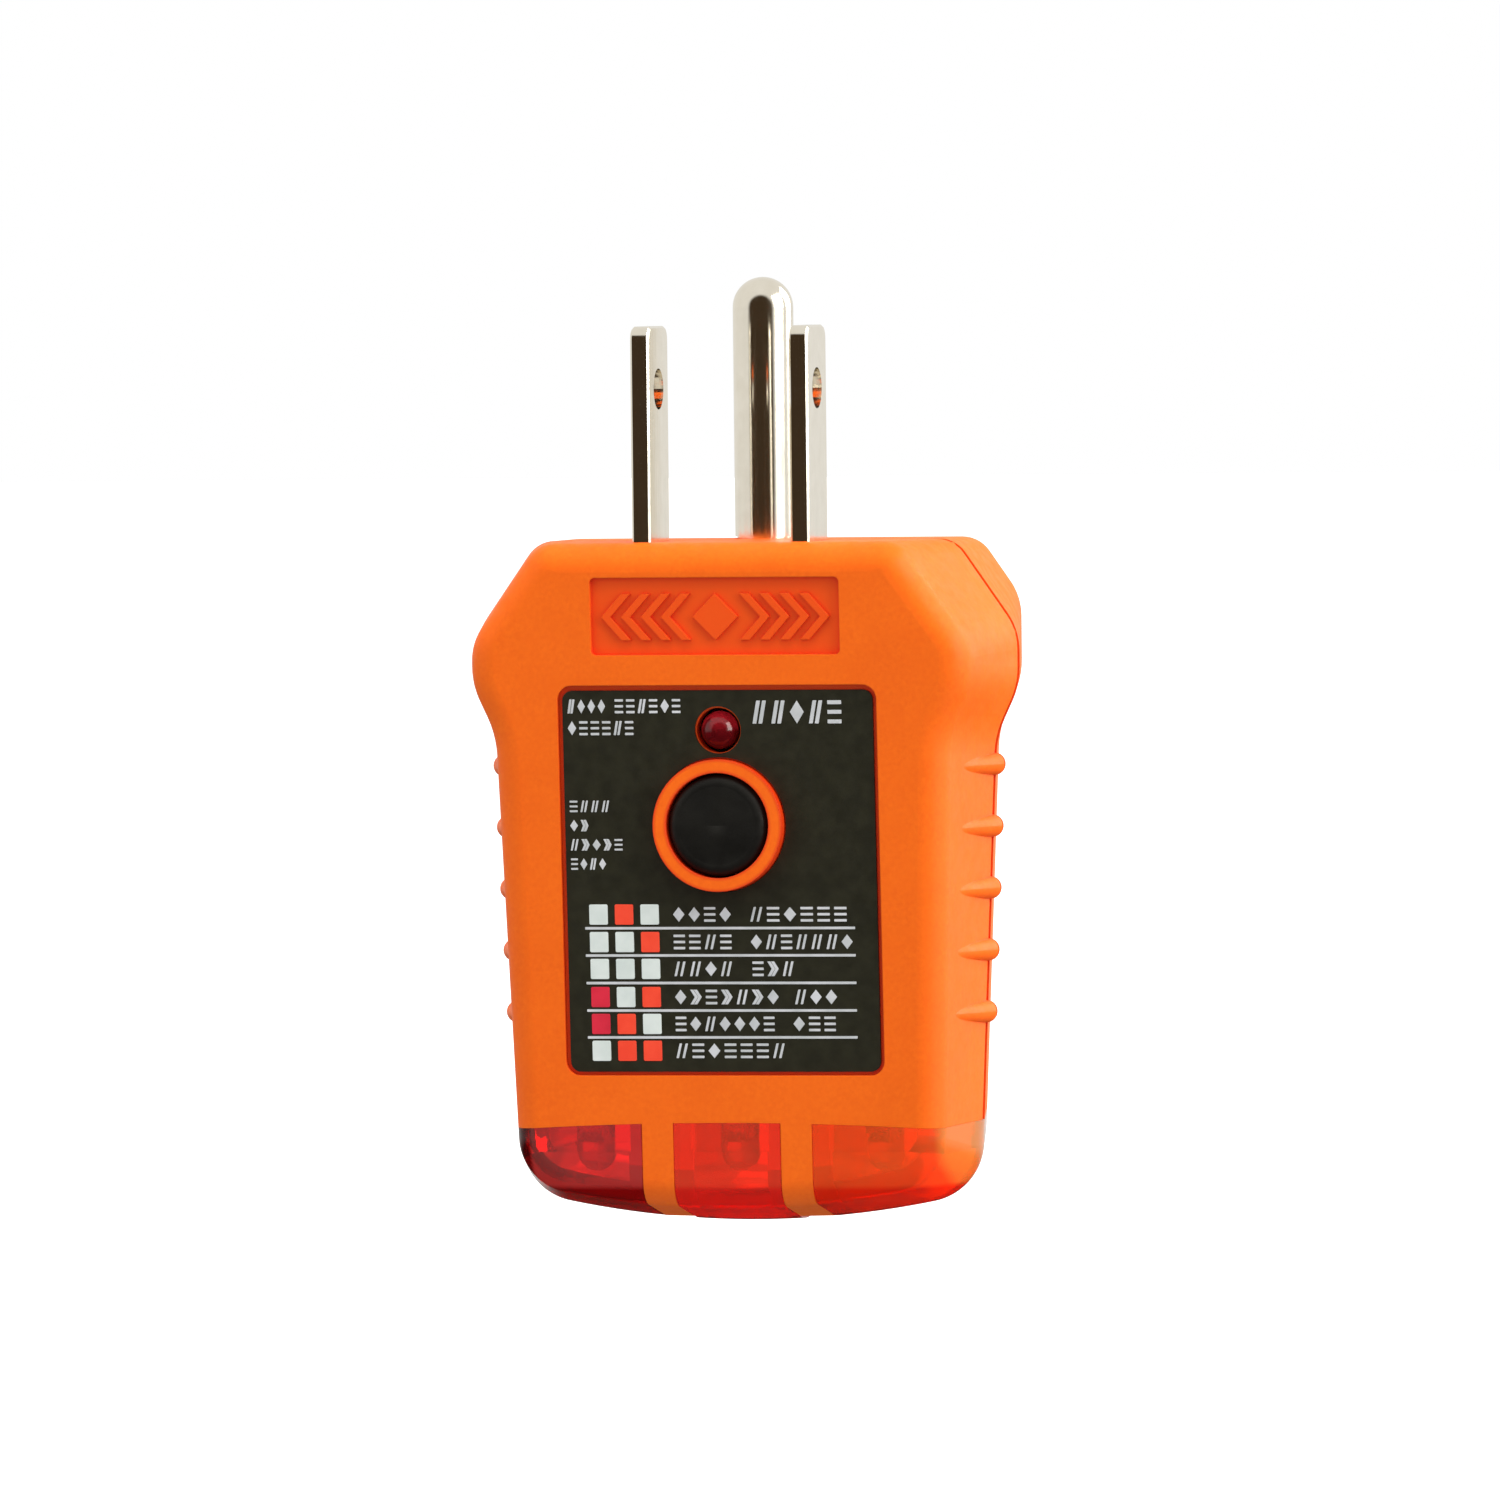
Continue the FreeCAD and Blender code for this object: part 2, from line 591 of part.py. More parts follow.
def face_label():
    """Thin printed label sheet in the recess, cut out for the button ring and the indicator."""
    points = rectangle(-d.label_half, -d.label_foot, d.label_half, -d.label_top)
    circles = [(0.0, -d.button_z, d.ring_outer + 0.12), (0.0, -d.led_z, d.led_hole + 0.1)]
    lift = d.label_thick - d.recess_depth
    return face_body("face_label", d.label_thick, [points], circles, lift=lift, rounds=d.label_round)


def button_cap():
    """Round cap with a domed top, a retaining flange and a centre boss that meets the switch plunger."""
    top, back = d.cap_front, -d.cap_back
    land, flange_top, roof = d.cap_radius - d.cap_land, -d.ring_back - d.cap_play, top - d.cap_roof
    skirt = d.cap_radius - d.cap_wall
    boss_end = -d.plunger_front + d.boss_play
    profile = [
        (0.0, top), (land, top - d.cap_crown), (d.cap_radius, top - d.cap_round), (d.cap_radius, flange_top),
        (d.cap_flange, flange_top), (d.cap_flange, back), (skirt, back), (skirt, roof),
        (d.cap_boss, roof), (d.cap_boss, boss_end), (0.0, boss_end),
    ]
    curves = {0: crown(land, top, d.cap_crown), 1: (d.cap_radius - 0.24, top - 0.36)}
    body = turned_body("button_cap", profile, curves)
    return place(body, 0.0, 0.0, -d.button_z, (X_AXIS, 90))


def button_spring():
    """Return spring between the board and the cap flange, round the switch."""
    coil = doc.addObject("Part::Helix", "spring_path")
    length = d.board_front - d.cap_back - d.spring_wire - d.spring_play * 2.0
    bind(coil, "Radius", d.spring_mean)
    bind(coil, "Height", length)
    bind(coil, "Pitch", length / d.spring_turns)
    start = d.cap_back + d.spring_wire * 0.5 + d.spring_play
    place(coil, 0.0, start, -d.button_z, (X_AXIS, -90))
    wire = doc.addObject("Part::Circle", "spring_section")
    bind(wire, "Radius", d.spring_wire * 0.5)
    wire.Placement = FreeCAD.Placement(
        FreeCAD.Vector(value(d.spring_mean), value(start), -value(d.button_z)), FreeCAD.Rotation()
    )
    bind(wire, ".Placement.Base.x", d.spring_mean)
    bind(wire, ".Placement.Base.y", start)
    bind(wire, ".Placement.Base.z", -d.button_z)
    sweep = doc.addObject("Part::Sweep", "button_spring")
    sweep.Sections = [wire]
    sweep.Spine = (coil, [])
    sweep.Solid, sweep.Frenet = True, True
    return sweep


def switch_housing():
    body = new_body("switch_housing")
    half = d.switch_side * 0.5
    sketch = open_sketch(body, "housing_outline", "XZ_Plane", -d.board_front)
    draw_loop(sketch, rectangle(-half, -d.button_z - half, half, -d.button_z + half))
    add_feature(body, "Pad", sketch, d.board_front - d.switch_front)
    sketch = open_sketch(body, "housing_well", "XZ_Plane", -d.switch_front)
    draw_circle(sketch, 0.0, -d.button_z, d.plunger_radius + d.fit)
    add_feature(body, "Pocket", sketch, d.plunger_back + d.press + 0.15 - d.switch_front)
    return body


def switch_cover():
    """Pressed steel cover with a hole for the plunger."""
    body = new_body("switch_cover")
    half = d.switch_side * 0.5 - 0.1
    sketch = open_sketch(body, "cover_outline", "XZ_Plane", -d.switch_front)
    draw_loop(sketch, rectangle(-half, -d.button_z - half, half, -d.button_z + half))
    draw_circle(sketch, 0.0, -d.button_z, d.plunger_radius + d.fit)
    add_feature(body, "Pad", sketch, d.cover_thick)
    return body


def switch_plunger():
    body = new_body("switch_plunger")
    sketch = open_sketch(body, "plunger_outline", "XZ_Plane", -d.plunger_back)
    draw_circle(sketch, 0.0, -d.button_z, d.plunger_radius)
    pad = add_feature(body, "Pad", sketch, d.plunger_back - d.plunger_front)
    rim = lies_on(lambda p: p.y - value(d.plunger_front))
    dress(body, "Chamfer", pad, rim, 0.2, "plunger_edge")
    return body


def switch_terminals():
    """Four legs down through the board."""
    legs = []
    for x in SIDES:
        for z in SIDES:
            px, pz = x * 2.5, z * 2.25
            leg = block("switch_leg", (Size(px - 0.35, repr(px - 0.35)), Size(px + 0.35, repr(px + 0.35))),
                        (d.board_front, d.board_front + d.board_thick + d.lead_proud),
                        (-d.button_z + (pz - 0.25), -d.button_z + (pz + 0.25)))
            legs.append(leg)
    return group("switch_terminals", legs)


# ---------------------------------------------------------------- lamps

def led(name):
    """Round epoxy lamp along its own +Z: flange at the bottom, dome at the top."""
    flange, tall, radius = d.led_flange, d.led_length, d.led_radius
    profile = [(0.0, 0.0), (flange, 0.0), (flange, d.led_flange_thick), (radius, d.led_flange_thick),
               (radius, tall - radius), (0.0, tall)]
    knee = math.sqrt(0.5)
    return turned_body(name, profile, {4: (radius * knee, tall - radius * (1.0 - knee))})


def straight_leads(name, y_start, length):
    leads = []
    for side in SIDES:
        x, half = d.lead_pitch * (0.5 * side), d.lead_side * 0.5
        leads.append(block(f"{name}_{'right' if side > 0 else 'left'}", (x - half, x + half),
                           (y_start, y_start + length), (-d.led_z - half, -d.led_z + half)))
    return group(name, leads)


def lamp_leads():
    """Square leads of the three lens lamps, bent back through the board."""
    leads = []
    half = d.lead_side * 0.5
    base = -d.lamp_tip + d.led_length
    end = d.board_front + d.board_thick + d.lead_proud
    for lamp in (-1.0, 0.0, 1.0):
        for side in SIDES:
            x = d.lamp_x * lamp + d.lead_pitch * (0.5 * side)
            body = new_body(f"lamp_lead_{len(leads)}")
            sketch = open_sketch(body, f"{body.Name}_shape", "YZ_Plane", x - half)
            front, bend = d.lamp_y - half, -d.lamp_bend
            points = [(front, base), (front + d.lead_side, base), (front + d.lead_side, bend - half),
                      (end, bend - half), (end, bend + half), (front, bend + half)]
            draw_loop(sketch, points)
            pad = add_feature(body, "Pad", sketch, d.lead_side)
            turn = (value(front), value(bend + half))
            outer = lambda e, t=turn: all(math.dist((v.Point.y, v.Point.z), t) < 1e-3 for v in e.Vertexes)
            dress(body, "Fillet", pad, outer, 0.4, f"{body.Name}_bend")
            leads.append(body)
    return group("lamp_leads", leads)


# ---------------------------------------------------------------- circuit board and its parts

RESISTORS = ((0.0, 27.0), (0.0, 30.4), (0.0, 33.8))
DIODES = ((-11.1, 22.8), (-7.9, 22.8), (7.9, 22.8), (11.1, 22.8))
RESISTOR_PITCH, DIODE_PITCH, TEST_PITCH, TEST_Z = 10.0, 7.6, 16.0, 16.6
LEAD_RADIUS, LEAD_HOLE = 0.3, 0.4


def through_lead_holes():
    """Centres of the round component holes, as (x, height below the plug face)."""
    holes = []
    for x, z in RESISTORS:
        holes += [(x + side * RESISTOR_PITCH / 2, z) for side in SIDES]
    for x, z in DIODES:
        holes += [(x, z + side * DIODE_PITCH / 2) for side in SIDES]
    return holes + [(side * TEST_PITCH / 2, TEST_Z) for side in SIDES]


def circuit_board():
    body = new_body("circuit_board")
    sketch = open_sketch(body, "board_outline", "XZ_Plane", -(d.board_front + d.board_thick))
    draw_loop(sketch, rectangle(-d.board_half, -d.board_foot, d.board_half, -d.board_top))
    add_feature(body, "Pad", sketch, d.board_thick)
    sketch = open_sketch(body, "board_notches", "XZ_Plane", -d.board_front)
    for side, x, z in post_places():
        draw_circle(sketch, x * side, -z, d.post_notch)
    add_feature(body, "Pocket", sketch, d.board_thick * 2.0)
    sketch = open_sketch(body, "board_slots", "XZ_Plane", -d.board_front)
    gap = d.fit
    for side in SIDES:
        x, half = d.blade_x * side, d.blade_thick * 0.5 + gap
        draw_loop(sketch, rectangle(x - half, -d.tab_foot - gap, x + half, -d.tab_top + gap))
        half = d.lead_side * 0.5 + gap
        for lamp in (-1.0, 0.0, 1.0):
            x = d.lamp_x * lamp + d.lead_pitch * (0.5 * side)
            draw_loop(sketch, rectangle(x - half, -d.lamp_bend - half, x + half, -d.lamp_bend + half))
        x = d.lead_pitch * (0.5 * side)
        draw_loop(sketch, rectangle(x - half, -d.led_z - half, x + half, -d.led_z + half))
        for z in SIDES:
            px, pz = side * 2.5, -d.button_z + z * 2.25
            draw_loop(sketch, rectangle(px - 0.4, pz - 0.3, px + 0.4, pz + 0.3))
    add_feature(body, "Pocket", sketch, d.board_thick * 2.0)
    sketch = open_sketch(body, "board_lead_holes", "XZ_Plane", -d.board_front)
    for x, z in through_lead_holes():
        draw_circle(sketch, x, -z, LEAD_HOLE)
    add_feature(body, "Pocket", sketch, d.board_thick * 2.0)
    return body


def axial_part(name, x, z, pitch, radius, length, waist, upright):
    """A resistor or diode lying on the back of the board, with both leads bent into the board."""
    back = d.board_front + d.board_thick
    height = back + (radius + 0.15)
    profile = [(0.0, -length / 2), (radius * 0.86, -length / 2), (radius, -length / 2 + 0.35),
               (radius, -length * 0.3), (radius * waist, -length * 0.22), (radius * waist, length * 0.22),
               (radius, length * 0.3), (radius, length / 2 - 0.35), (radius * 0.86, length / 2),
               (0.0, length / 2)]
    barrel = turned_body(f"{name}_barrel", profile)
    turn = None if upright else (Y_AXIS, 90)
    place(barrel, x, height, -z, turn)
    pieces = [barrel]
    axle = rod(f"{name}_wire", 0.0, 0.0, 0.0, LEAD_RADIUS, pitch, along="Z")
    place(axle, x if upright else x - pitch / 2, height, -z - (pitch / 2 if upright else 0.0), turn)
    pieces.append(axle)
    for side in SIDES:
        px = x if upright else x + side * pitch / 2
        pz = -z + (side * pitch / 2 if upright else 0.0)
        elbow = doc.addObject("Part::Sphere", f"{name}_elbow")
        bind(elbow, "Radius", LEAD_RADIUS)
        pieces.append(place(elbow, px, height, pz))
        pieces.append(rod(f"{name}_leg", px, d.board_front - 0.6, pz, LEAD_RADIUS,
                          height - d.board_front + 0.6))
    return fuse(name, pieces)


# ---------------------------------------------------------------- prongs and their holder

def blade(name, side):
    """Flat blade with broken edges, a cross hole, and a tab inside that goes through the board."""
    body = new_body(name)
    half, x = d.blade_width * 0.5, d.blade_x * side - d.blade_thick * 0.5
    sketch = open_sketch(body, f"{name}_outline", "YZ_Plane", x)
    neck = -half + d.tab_neck
    points = [(half, -d.tab_top), (half, d.blade_out), (-half, d.blade_out), (-half, -d.blade_root),
              (neck, -d.blade_root), (neck, -d.blade_foot), (half, -d.blade_foot), (half, -d.tab_foot),
              (d.tab_reach, -d.tab_foot), (d.tab_reach, -d.tab_top)]
    draw_loop(sketch, points)
    pad = add_feature(body, "Pad", sketch, d.blade_thick)
    tip = value(d.blade_out)
    corners = lambda e: len(e.Vertexes) == 2 and all(abs(v.Point.z - tip) < 1e-3 for v in e.Vertexes) \
        and abs(e.Vertexes[0].Point.y - e.Vertexes[1].Point.y) < 1e-3
    rounded = dress(body, "Fillet", pad, corners, d.tip_round, f"{name}_tip_corners")
    edges = lambda e: all(v.Point.z > tip - 1.2 for v in e.Vertexes) and \
        abs(e.Vertexes[0].Point.x - e.Vertexes[-1].Point.x) < 1e-3
    bevelled = dress(body, "Chamfer", rounded, edges, d.blade_edge, f"{name}_edge_bevel")
    sketch = open_sketch(body, f"{name}_hole_shape", "YZ_Plane", x + d.blade_thick)
    draw_circle(sketch, 0.0, d.blade_hole_z, d.blade_hole)
    add_feature(body, "Pocket", sketch, d.blade_thick * 2.0)
    return body


def ground_pin():
    """Round earth pin with a full dome, turned down inside to a shank with a peened end."""
    radius, out = d.pin_radius, d.pin_out
    end = -d.carrier_foot - d.strap_thick
    knee = math.sqrt(0.5)
    neck = radius - d.neck_step
    profile = [(0.0, out), (radius, out - radius), (radius, d.pin_neck), (neck, d.pin_neck),
               (neck, -d.carrier_top), (d.pin_shank, -d.carrier_top),
               (d.pin_shank, end), (d.pin_shank + d.pin_collar, end), (d.pin_shank + d.pin_collar, end - 0.5),
               (d.pin_shank - 0.4, end - 1.0), (0.0, end - 1.0)]
    body = turned_body("ground_pin", profile, {0: (radius * knee, out - radius * (1.0 - knee))})
    return place(body, 0.0, d.pin_y, 0.0)


def prong_carrier():
    """Moulded block that holds both blades and the pin shank under the plug face."""
    body = new_body("prong_carrier")
    sketch = open_sketch(body, "carrier_outline", "XY_Plane", -d.carrier_foot)
    draw_loop(sketch, rectangle(-d.carrier_half, -d.carrier_front, d.carrier_half, d.carrier_back))
    pad = add_feature(body, "Pad", sketch, d.carrier_foot - d.carrier_top - 0.05)
    upright = lambda e: len(e.Vertexes) == 2 and \
        abs(e.Vertexes[0].Point.z - e.Vertexes[1].Point.z) > 1.0
    dress(body, "Fillet", pad, upright, 0.8, "carrier_corners")
    sketch = open_sketch(body, "carrier_openings", "XY_Plane", -d.carrier_foot)
    half = d.blade_width * 0.5 + d.fit * 0.4
    for side in SIDES:
        x, thick = d.blade_x * side, d.blade_thick * 0.5 + d.fit * 0.4
        draw_loop(sketch, rectangle(x - thick, -half, x + thick, half))
    draw_circle(sketch, 0.0, d.pin_y, d.pin_shank + d.fit * 0.4)
    add_feature(body, "Pocket", sketch, d.carrier_foot, back=True)
    return body


def ground_strap():
    """Bent brass strip from the pin's end to the back of the board."""
    body = new_body("ground_strap")
    sketch = open_sketch(body, "strap_bend", "YZ_Plane")
    top, back = -d.carrier_foot, d.board_front + d.board_thick
    thick = d.strap_thick
    points = [(back, top), (d.carrier_back, top), (d.carrier_back, top - thick), (back + thick, top - thick),
              (back + thick, -d.tab_foot), (back, -d.tab_foot)]
    draw_loop(sketch, points)
    pad = add_feature(body, "Pad", sketch, d.strap_half * 2.0, both=True)
    outer = (value(back), value(top))
    bend = lambda e: all(math.dist((v.Point.y, v.Point.z), outer) < 1e-3 for v in e.Vertexes)
    dress(body, "Fillet", pad, bend, 0.6, "strap_bend_round")
    sketch = open_sketch(body, "strap_eye", "XY_Plane", top)
    draw_circle(sketch, 0.0, d.pin_y, d.pin_shank + d.fit * 0.4)
    add_feature(body, "Pocket", sketch, thick * 2.0)
    return body


def screw(name, side, x, z):
    """Self-tapping screw with a pan head and a cross recess, along +Y from tip to head."""
    seat, tip = d.head_seat, d.screw_tip
    profile = [(0.0, tip), (d.screw_radius, tip + 1.4), (d.screw_radius, seat), (d.head_radius, seat),
               (d.head_radius, seat + d.head_thick * 0.5), (0.0, seat + d.head_thick)]
    dome = crown(d.head_radius, seat + d.head_thick, d.head_thick * 0.5)
    body = turned_body(name, profile, {4: dome})
    arm, width = d.head_radius * 0.62, d.head_radius * 0.13
    sketch = open_sketch(body, f"{name}_cross", "XY_Plane", seat + d.head_thick)
    points = [(width, width), (arm, width), (arm, -width), (width, -width), (width, -arm), (-width, -arm),
              (-width, -width), (-arm, -width), (-arm, width), (-width, width), (-width, arm), (width, arm)]
    draw_loop(sketch, points)
    add_feature(body, "Pocket", sketch, d.head_thick * 0.7)
    return place(body, x * side, 0.0, -z, (X_AXIS, -90))


# ---------------------------------------------------------------- assembly

def build():
    front, rear = case_form("front_form", True), case_form("rear_form", False)
    wall, groove = value(d.wall), value(d.groove_depth)
    front_core, rear_core = case_form("front_core", True, wall), case_form("rear_core", False, wall)
    groove_core = case_form("groove_core", True, groove)
    zone = lens_zone()
    nodes = [front_shell(front, front_core, zone, groove_core), rear_shell(rear, rear_core, zone)]
    insets = (value(d.lens_wall), wall + value(d.lip_gap), wall + value(d.lip_gap) + value(d.lip_thick))
    forms = [lens_end(fuse("lens_form", [front, rear]), zone)]
    for number, inset in enumerate(insets):
        forms.append(fuse(f"lens_core_{number}", [case_form(f"lens_front_{number}", True, inset),
                                                  case_form(f"lens_rear_{number}", False, inset)]))
    far, near, side = d.shoulder_half * 1.5, d.rib_near - d.lens_gap, d.lens_side_wall
    edge = d.rib_far + d.lens_gap
    nodes += [lens("left_lens", forms, -far, -edge, 0.0, side),
              lens("middle_lens", forms, -near, near, side, side),
              lens("right_lens", forms, edge, far, side, 0.0)]
    nodes += [face_label(), button_cap(), button_spring(), switch_housing(), switch_cover(), switch_plunger(),
              switch_terminals(), circuit_board()]
    indicator = led("indicator_lamp")
    place(indicator, 0.0, d.led_length - d.led_front, -d.led_z, (X_AXIS, 90))
    lead_start = d.led_length - d.led_front
    nodes += [indicator, straight_leads("indicator_leads", lead_start,
                                        d.board_front + d.board_thick + 0.9 - lead_start)]
    for name, place_x in (("left_lamp", -1.0), ("middle_lamp", 0.0), ("right_lamp", 1.0)):
        nodes.append(place(led(name), d.lamp_x * place_x, d.lamp_y, -d.lamp_tip + d.led_length,
                           (X_AXIS, 180)))
    nodes.append(lamp_leads())
    nodes.append(group("lamp_resistors", [
        axial_part(f"resistor_{i}", x, z, RESISTOR_PITCH, 1.2, 6.3, 0.86, False)
        for i, (x, z) in enumerate(RESISTORS)]))
    nodes.append(group("diodes", [
        axial_part(f"diode_{i}", x, z, DIODE_PITCH, 1.3, 4.6, 1.0, True) for i, (x, z) in enumerate(DIODES)]))
    nodes.append(axial_part("test_resistor", 0.0, TEST_Z, TEST_PITCH, 2.2, 11.0, 0.94, False))
    nodes += [blade("neutral_blade", -1.0), blade("hot_blade", 1.0), ground_pin(), prong_carrier(),
              ground_strap()]
    nodes.append(group("case_screws", [
        screw(f"screw_{i}", side, x, z) for i, (side, x, z) in enumerate(post_places())]))
    doc.recompute()
    return nodes


def check_and_write(nodes):
    """Stops if any object failed, then writes each sub-part to its own file."""
    for thing in doc.Objects:
        if "Invalid" in thing.State or "Error" in thing.State:
            raise RuntimeError(f"{thing.Name} failed: {thing.State}")
    for node in nodes:
        if node.Shape.isNull() or not node.Shape.isValid():
            raise RuntimeError(f"{node.Name} has no valid shape")
    os.makedirs("parts", exist_ok=True)
    for node in nodes:
        node.Label = node.Name
        node.Shape.exportStep(f"parts/{node.Label}.step")
        print(f"{node.Label:18s} solids {len(node.Shape.Solids)} volume {node.Shape.Volume:9.2f}")


check_and_write(build())
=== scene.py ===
"""Looks of the outlet tester plug: finishes, print, lamp internals, solder and coil spring, round the CAD."""
import math

import bmesh
import bpy
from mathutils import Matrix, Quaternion, Vector


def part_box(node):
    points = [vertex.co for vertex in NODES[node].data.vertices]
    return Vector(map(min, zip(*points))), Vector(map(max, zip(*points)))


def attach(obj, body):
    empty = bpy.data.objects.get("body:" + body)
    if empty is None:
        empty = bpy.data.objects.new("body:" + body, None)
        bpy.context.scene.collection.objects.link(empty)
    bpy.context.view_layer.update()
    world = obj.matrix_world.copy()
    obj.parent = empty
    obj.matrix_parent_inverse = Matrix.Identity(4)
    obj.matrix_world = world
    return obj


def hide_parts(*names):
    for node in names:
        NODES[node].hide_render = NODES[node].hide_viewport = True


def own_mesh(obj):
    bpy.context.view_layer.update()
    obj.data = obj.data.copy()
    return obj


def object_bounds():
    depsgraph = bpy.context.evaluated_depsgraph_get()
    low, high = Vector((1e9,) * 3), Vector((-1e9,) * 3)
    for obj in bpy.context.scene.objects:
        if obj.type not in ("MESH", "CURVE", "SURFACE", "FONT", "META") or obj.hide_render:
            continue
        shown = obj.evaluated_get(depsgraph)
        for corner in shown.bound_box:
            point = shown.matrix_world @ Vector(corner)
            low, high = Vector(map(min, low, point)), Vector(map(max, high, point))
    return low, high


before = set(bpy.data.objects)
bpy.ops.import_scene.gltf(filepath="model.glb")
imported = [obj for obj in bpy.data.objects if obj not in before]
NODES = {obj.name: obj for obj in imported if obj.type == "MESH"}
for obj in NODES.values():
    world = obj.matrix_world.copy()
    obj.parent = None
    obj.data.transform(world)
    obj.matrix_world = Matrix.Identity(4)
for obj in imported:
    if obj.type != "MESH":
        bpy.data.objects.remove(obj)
cad_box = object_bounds()

MM = 0.001
CASING = "casing"

# Sizes that the looks share with the CAD part, in millimetres.
FACE_Y, FACE_SLOPE = -5.8, 0.0556      # the front leans back as it goes down
LABEL_DEPTH = 0.2                      # the label's surface below the front
BADGE_HALF, BADGE_FOOT, BADGE_TOP = 9.95, -8.8, -2.75
BUTTON_Z, PRESS = -22.0, 1.2
RING_CREST, RING_HALF = 4.62, 0.53     # the button ring's middle radius and half its width
SPRING_RADIUS, SPRING_WIRE, SPRING_TURNS = 4.55, 0.2, 4.0      # the wire's radius, not its diameter
LAMP_X, LAMP_Y, LAMP_BASE = 11.6, 2.2, -43.9
BOARD_FRONT, BOARD_BACK = 4.4, 6.0
LEAD_HALF, LAMP_LEADS_Z, INDICATOR_Z = 1.27, -41.4, -14.6
SWITCH_LEG_X, SWITCH_LEG_Z = 2.5, 2.25
RESISTOR_HALF, RESISTOR_ROWS = 5.0, (-27.0, -30.4, -33.8)
DIODE_COLUMNS, DIODE_ENDS = (-11.1, -7.9, 7.9, 11.1), (-26.6, -19.0)
TEST_RESISTOR_HALF, TEST_RESISTOR_Z = 8.0, -16.6
BAND_HALF = 0.22                       # half the width of a resistor's colour ring
LENS_SHADED_FOOT = (-49.6, -51.0)             # where the painted shade on the lenses' lower rim starts and is full


# ---------------------------------------------------------------- materials

def linear(red, green, blue):
    """Linear colour from 0-255 screen values."""
    def channel(value):
        value /= 255.0
        return value / 12.92 if value <= 0.04045 else ((value + 0.055) / 1.055) ** 2.4
    return (channel(red), channel(green), channel(blue), 1.0)


class Finish:
    """A material under construction; sizes of patterns are in millimetres, in object space."""

    def __init__(self, name, **sockets):
        self.material = bpy.data.materials.new(name)
        self.material.use_nodes = True
        self.nodes = self.material.node_tree.nodes
        self.links = self.material.node_tree.links
        self.shader = self.nodes["Principled BSDF"]
        for socket, value in sockets.items():
            self.shader.inputs[socket.replace("_", " ")].default_value = value
        self.place = self.nodes.new("ShaderNodeTexCoord").outputs["Object"]

    def link(self, source, target):
        self.links.new(source, target)

    def noise(self, size, detail=3.0, stretch=(1, 1, 1)):
        scale = self.nodes.new("ShaderNodeMapping")
        scale.inputs["Scale"].default_value = stretch
        self.link(self.place, scale.inputs["Vector"])
        node = self.nodes.new("ShaderNodeTexNoise")
        node.inputs["Scale"].default_value = 1.0 / (size * MM)
        node.inputs["Detail"].default_value = detail
        self.link(scale.outputs["Vector"], node.inputs["Vector"])
        return node.outputs["Fac"]

    def ramp(self, source, low, high, start=0.35, end=0.65):
        """Colours or numbers that run from low to high over the source's start to end."""
        node = self.nodes.new("ShaderNodeValToRGB")
        stops = node.color_ramp.elements
        for stop, place, value in ((stops[0], start, low), (stops[1], end, high)):
            stop.position = place
            stop.color = value if isinstance(value, tuple) else (value, value, value, 1.0)
        self.link(source, node.inputs["Fac"])
        return node.outputs["Color"]

    def sum(self, operation, first, second=None):
        node = self.nodes.new("ShaderNodeMath")
        node.operation = operation
        for socket, value in zip(node.inputs, (first, second)):
            if isinstance(value, (int, float)):
                socket.default_value = value
            elif value is not None:
                self.link(value, socket)
        return node.outputs["Value"]

    def axes(self):
        node = self.nodes.new("ShaderNodeSeparateXYZ")
        self.link(self.place, node.inputs["Vector"])
        return node.outputs["X"], node.outputs["Y"], node.outputs["Z"]

    def mix(self, share, first, second):
        node = self.nodes.new("ShaderNodeMix")
        node.data_type = "RGBA"
        self.link(share, node.inputs["Factor"])
        for socket, value in ((node.inputs["A"], first), (node.inputs["B"], second)):
            if isinstance(value, tuple):
                socket.default_value = value
            else:
                self.link(value, socket)
        return node.outputs["Result"]

    def colour(self, source):
        self.link(source, self.shader.inputs["Base Color"])

    def rough(self, source):
        self.link(source, self.shader.inputs["Roughness"])

    def relief(self, height, depth, edge=0.0):
        """Bump of the given depth in millimetres, over edges softened by the given radius."""
        node = self.nodes.new("ShaderNodeBump")
        node.inputs["Distance"].default_value = depth * MM
        self.link(height, node.inputs["Height"])
        if edge:
            bevel = self.nodes.new("ShaderNodeBevel")
            bevel.samples = 4
            bevel.inputs["Radius"].default_value = edge * MM
            self.link(bevel.outputs["Normal"], node.inputs["Normal"])
        self.link(node.outputs["Normal"], self.shader.inputs["Normal"])


def plastic(name, low, high, rough=(0.38, 0.5), grain=0.22, depth=0.006, edge=0.0, cloud=6.0, **sockets):
    """Moulded plastic: cloudy colour, uneven gloss, fine spark-eroded grain."""
    finish = Finish(name, **sockets)
    finish.colour(finish.ramp(finish.noise(cloud, 5.0), low, high))
    finish.rough(finish.ramp(finish.noise(cloud * 0.4, 4.0), rough[0], rough[1]))
    finish.relief(finish.noise(grain, 4.0), depth, edge)
    return finish


def metal(name, low, high, rough, stretch=(1, 1, 1), depth=0.004, **sockets):
    """Plated or drawn metal: faint stains and fine lines along one direction."""
    finish = Finish(name, Metallic=1.0, **sockets)
    finish.colour(finish.ramp(finish.noise(1.4, 5.0), low, high, 0.2, 0.8))
    finish.rough(finish.ramp(finish.noise(0.5, 4.0, stretch), rough[0], rough[1], 0.3, 0.7))
    finish.relief(finish.noise(0.3, 4.0, stretch), depth)
    return finish


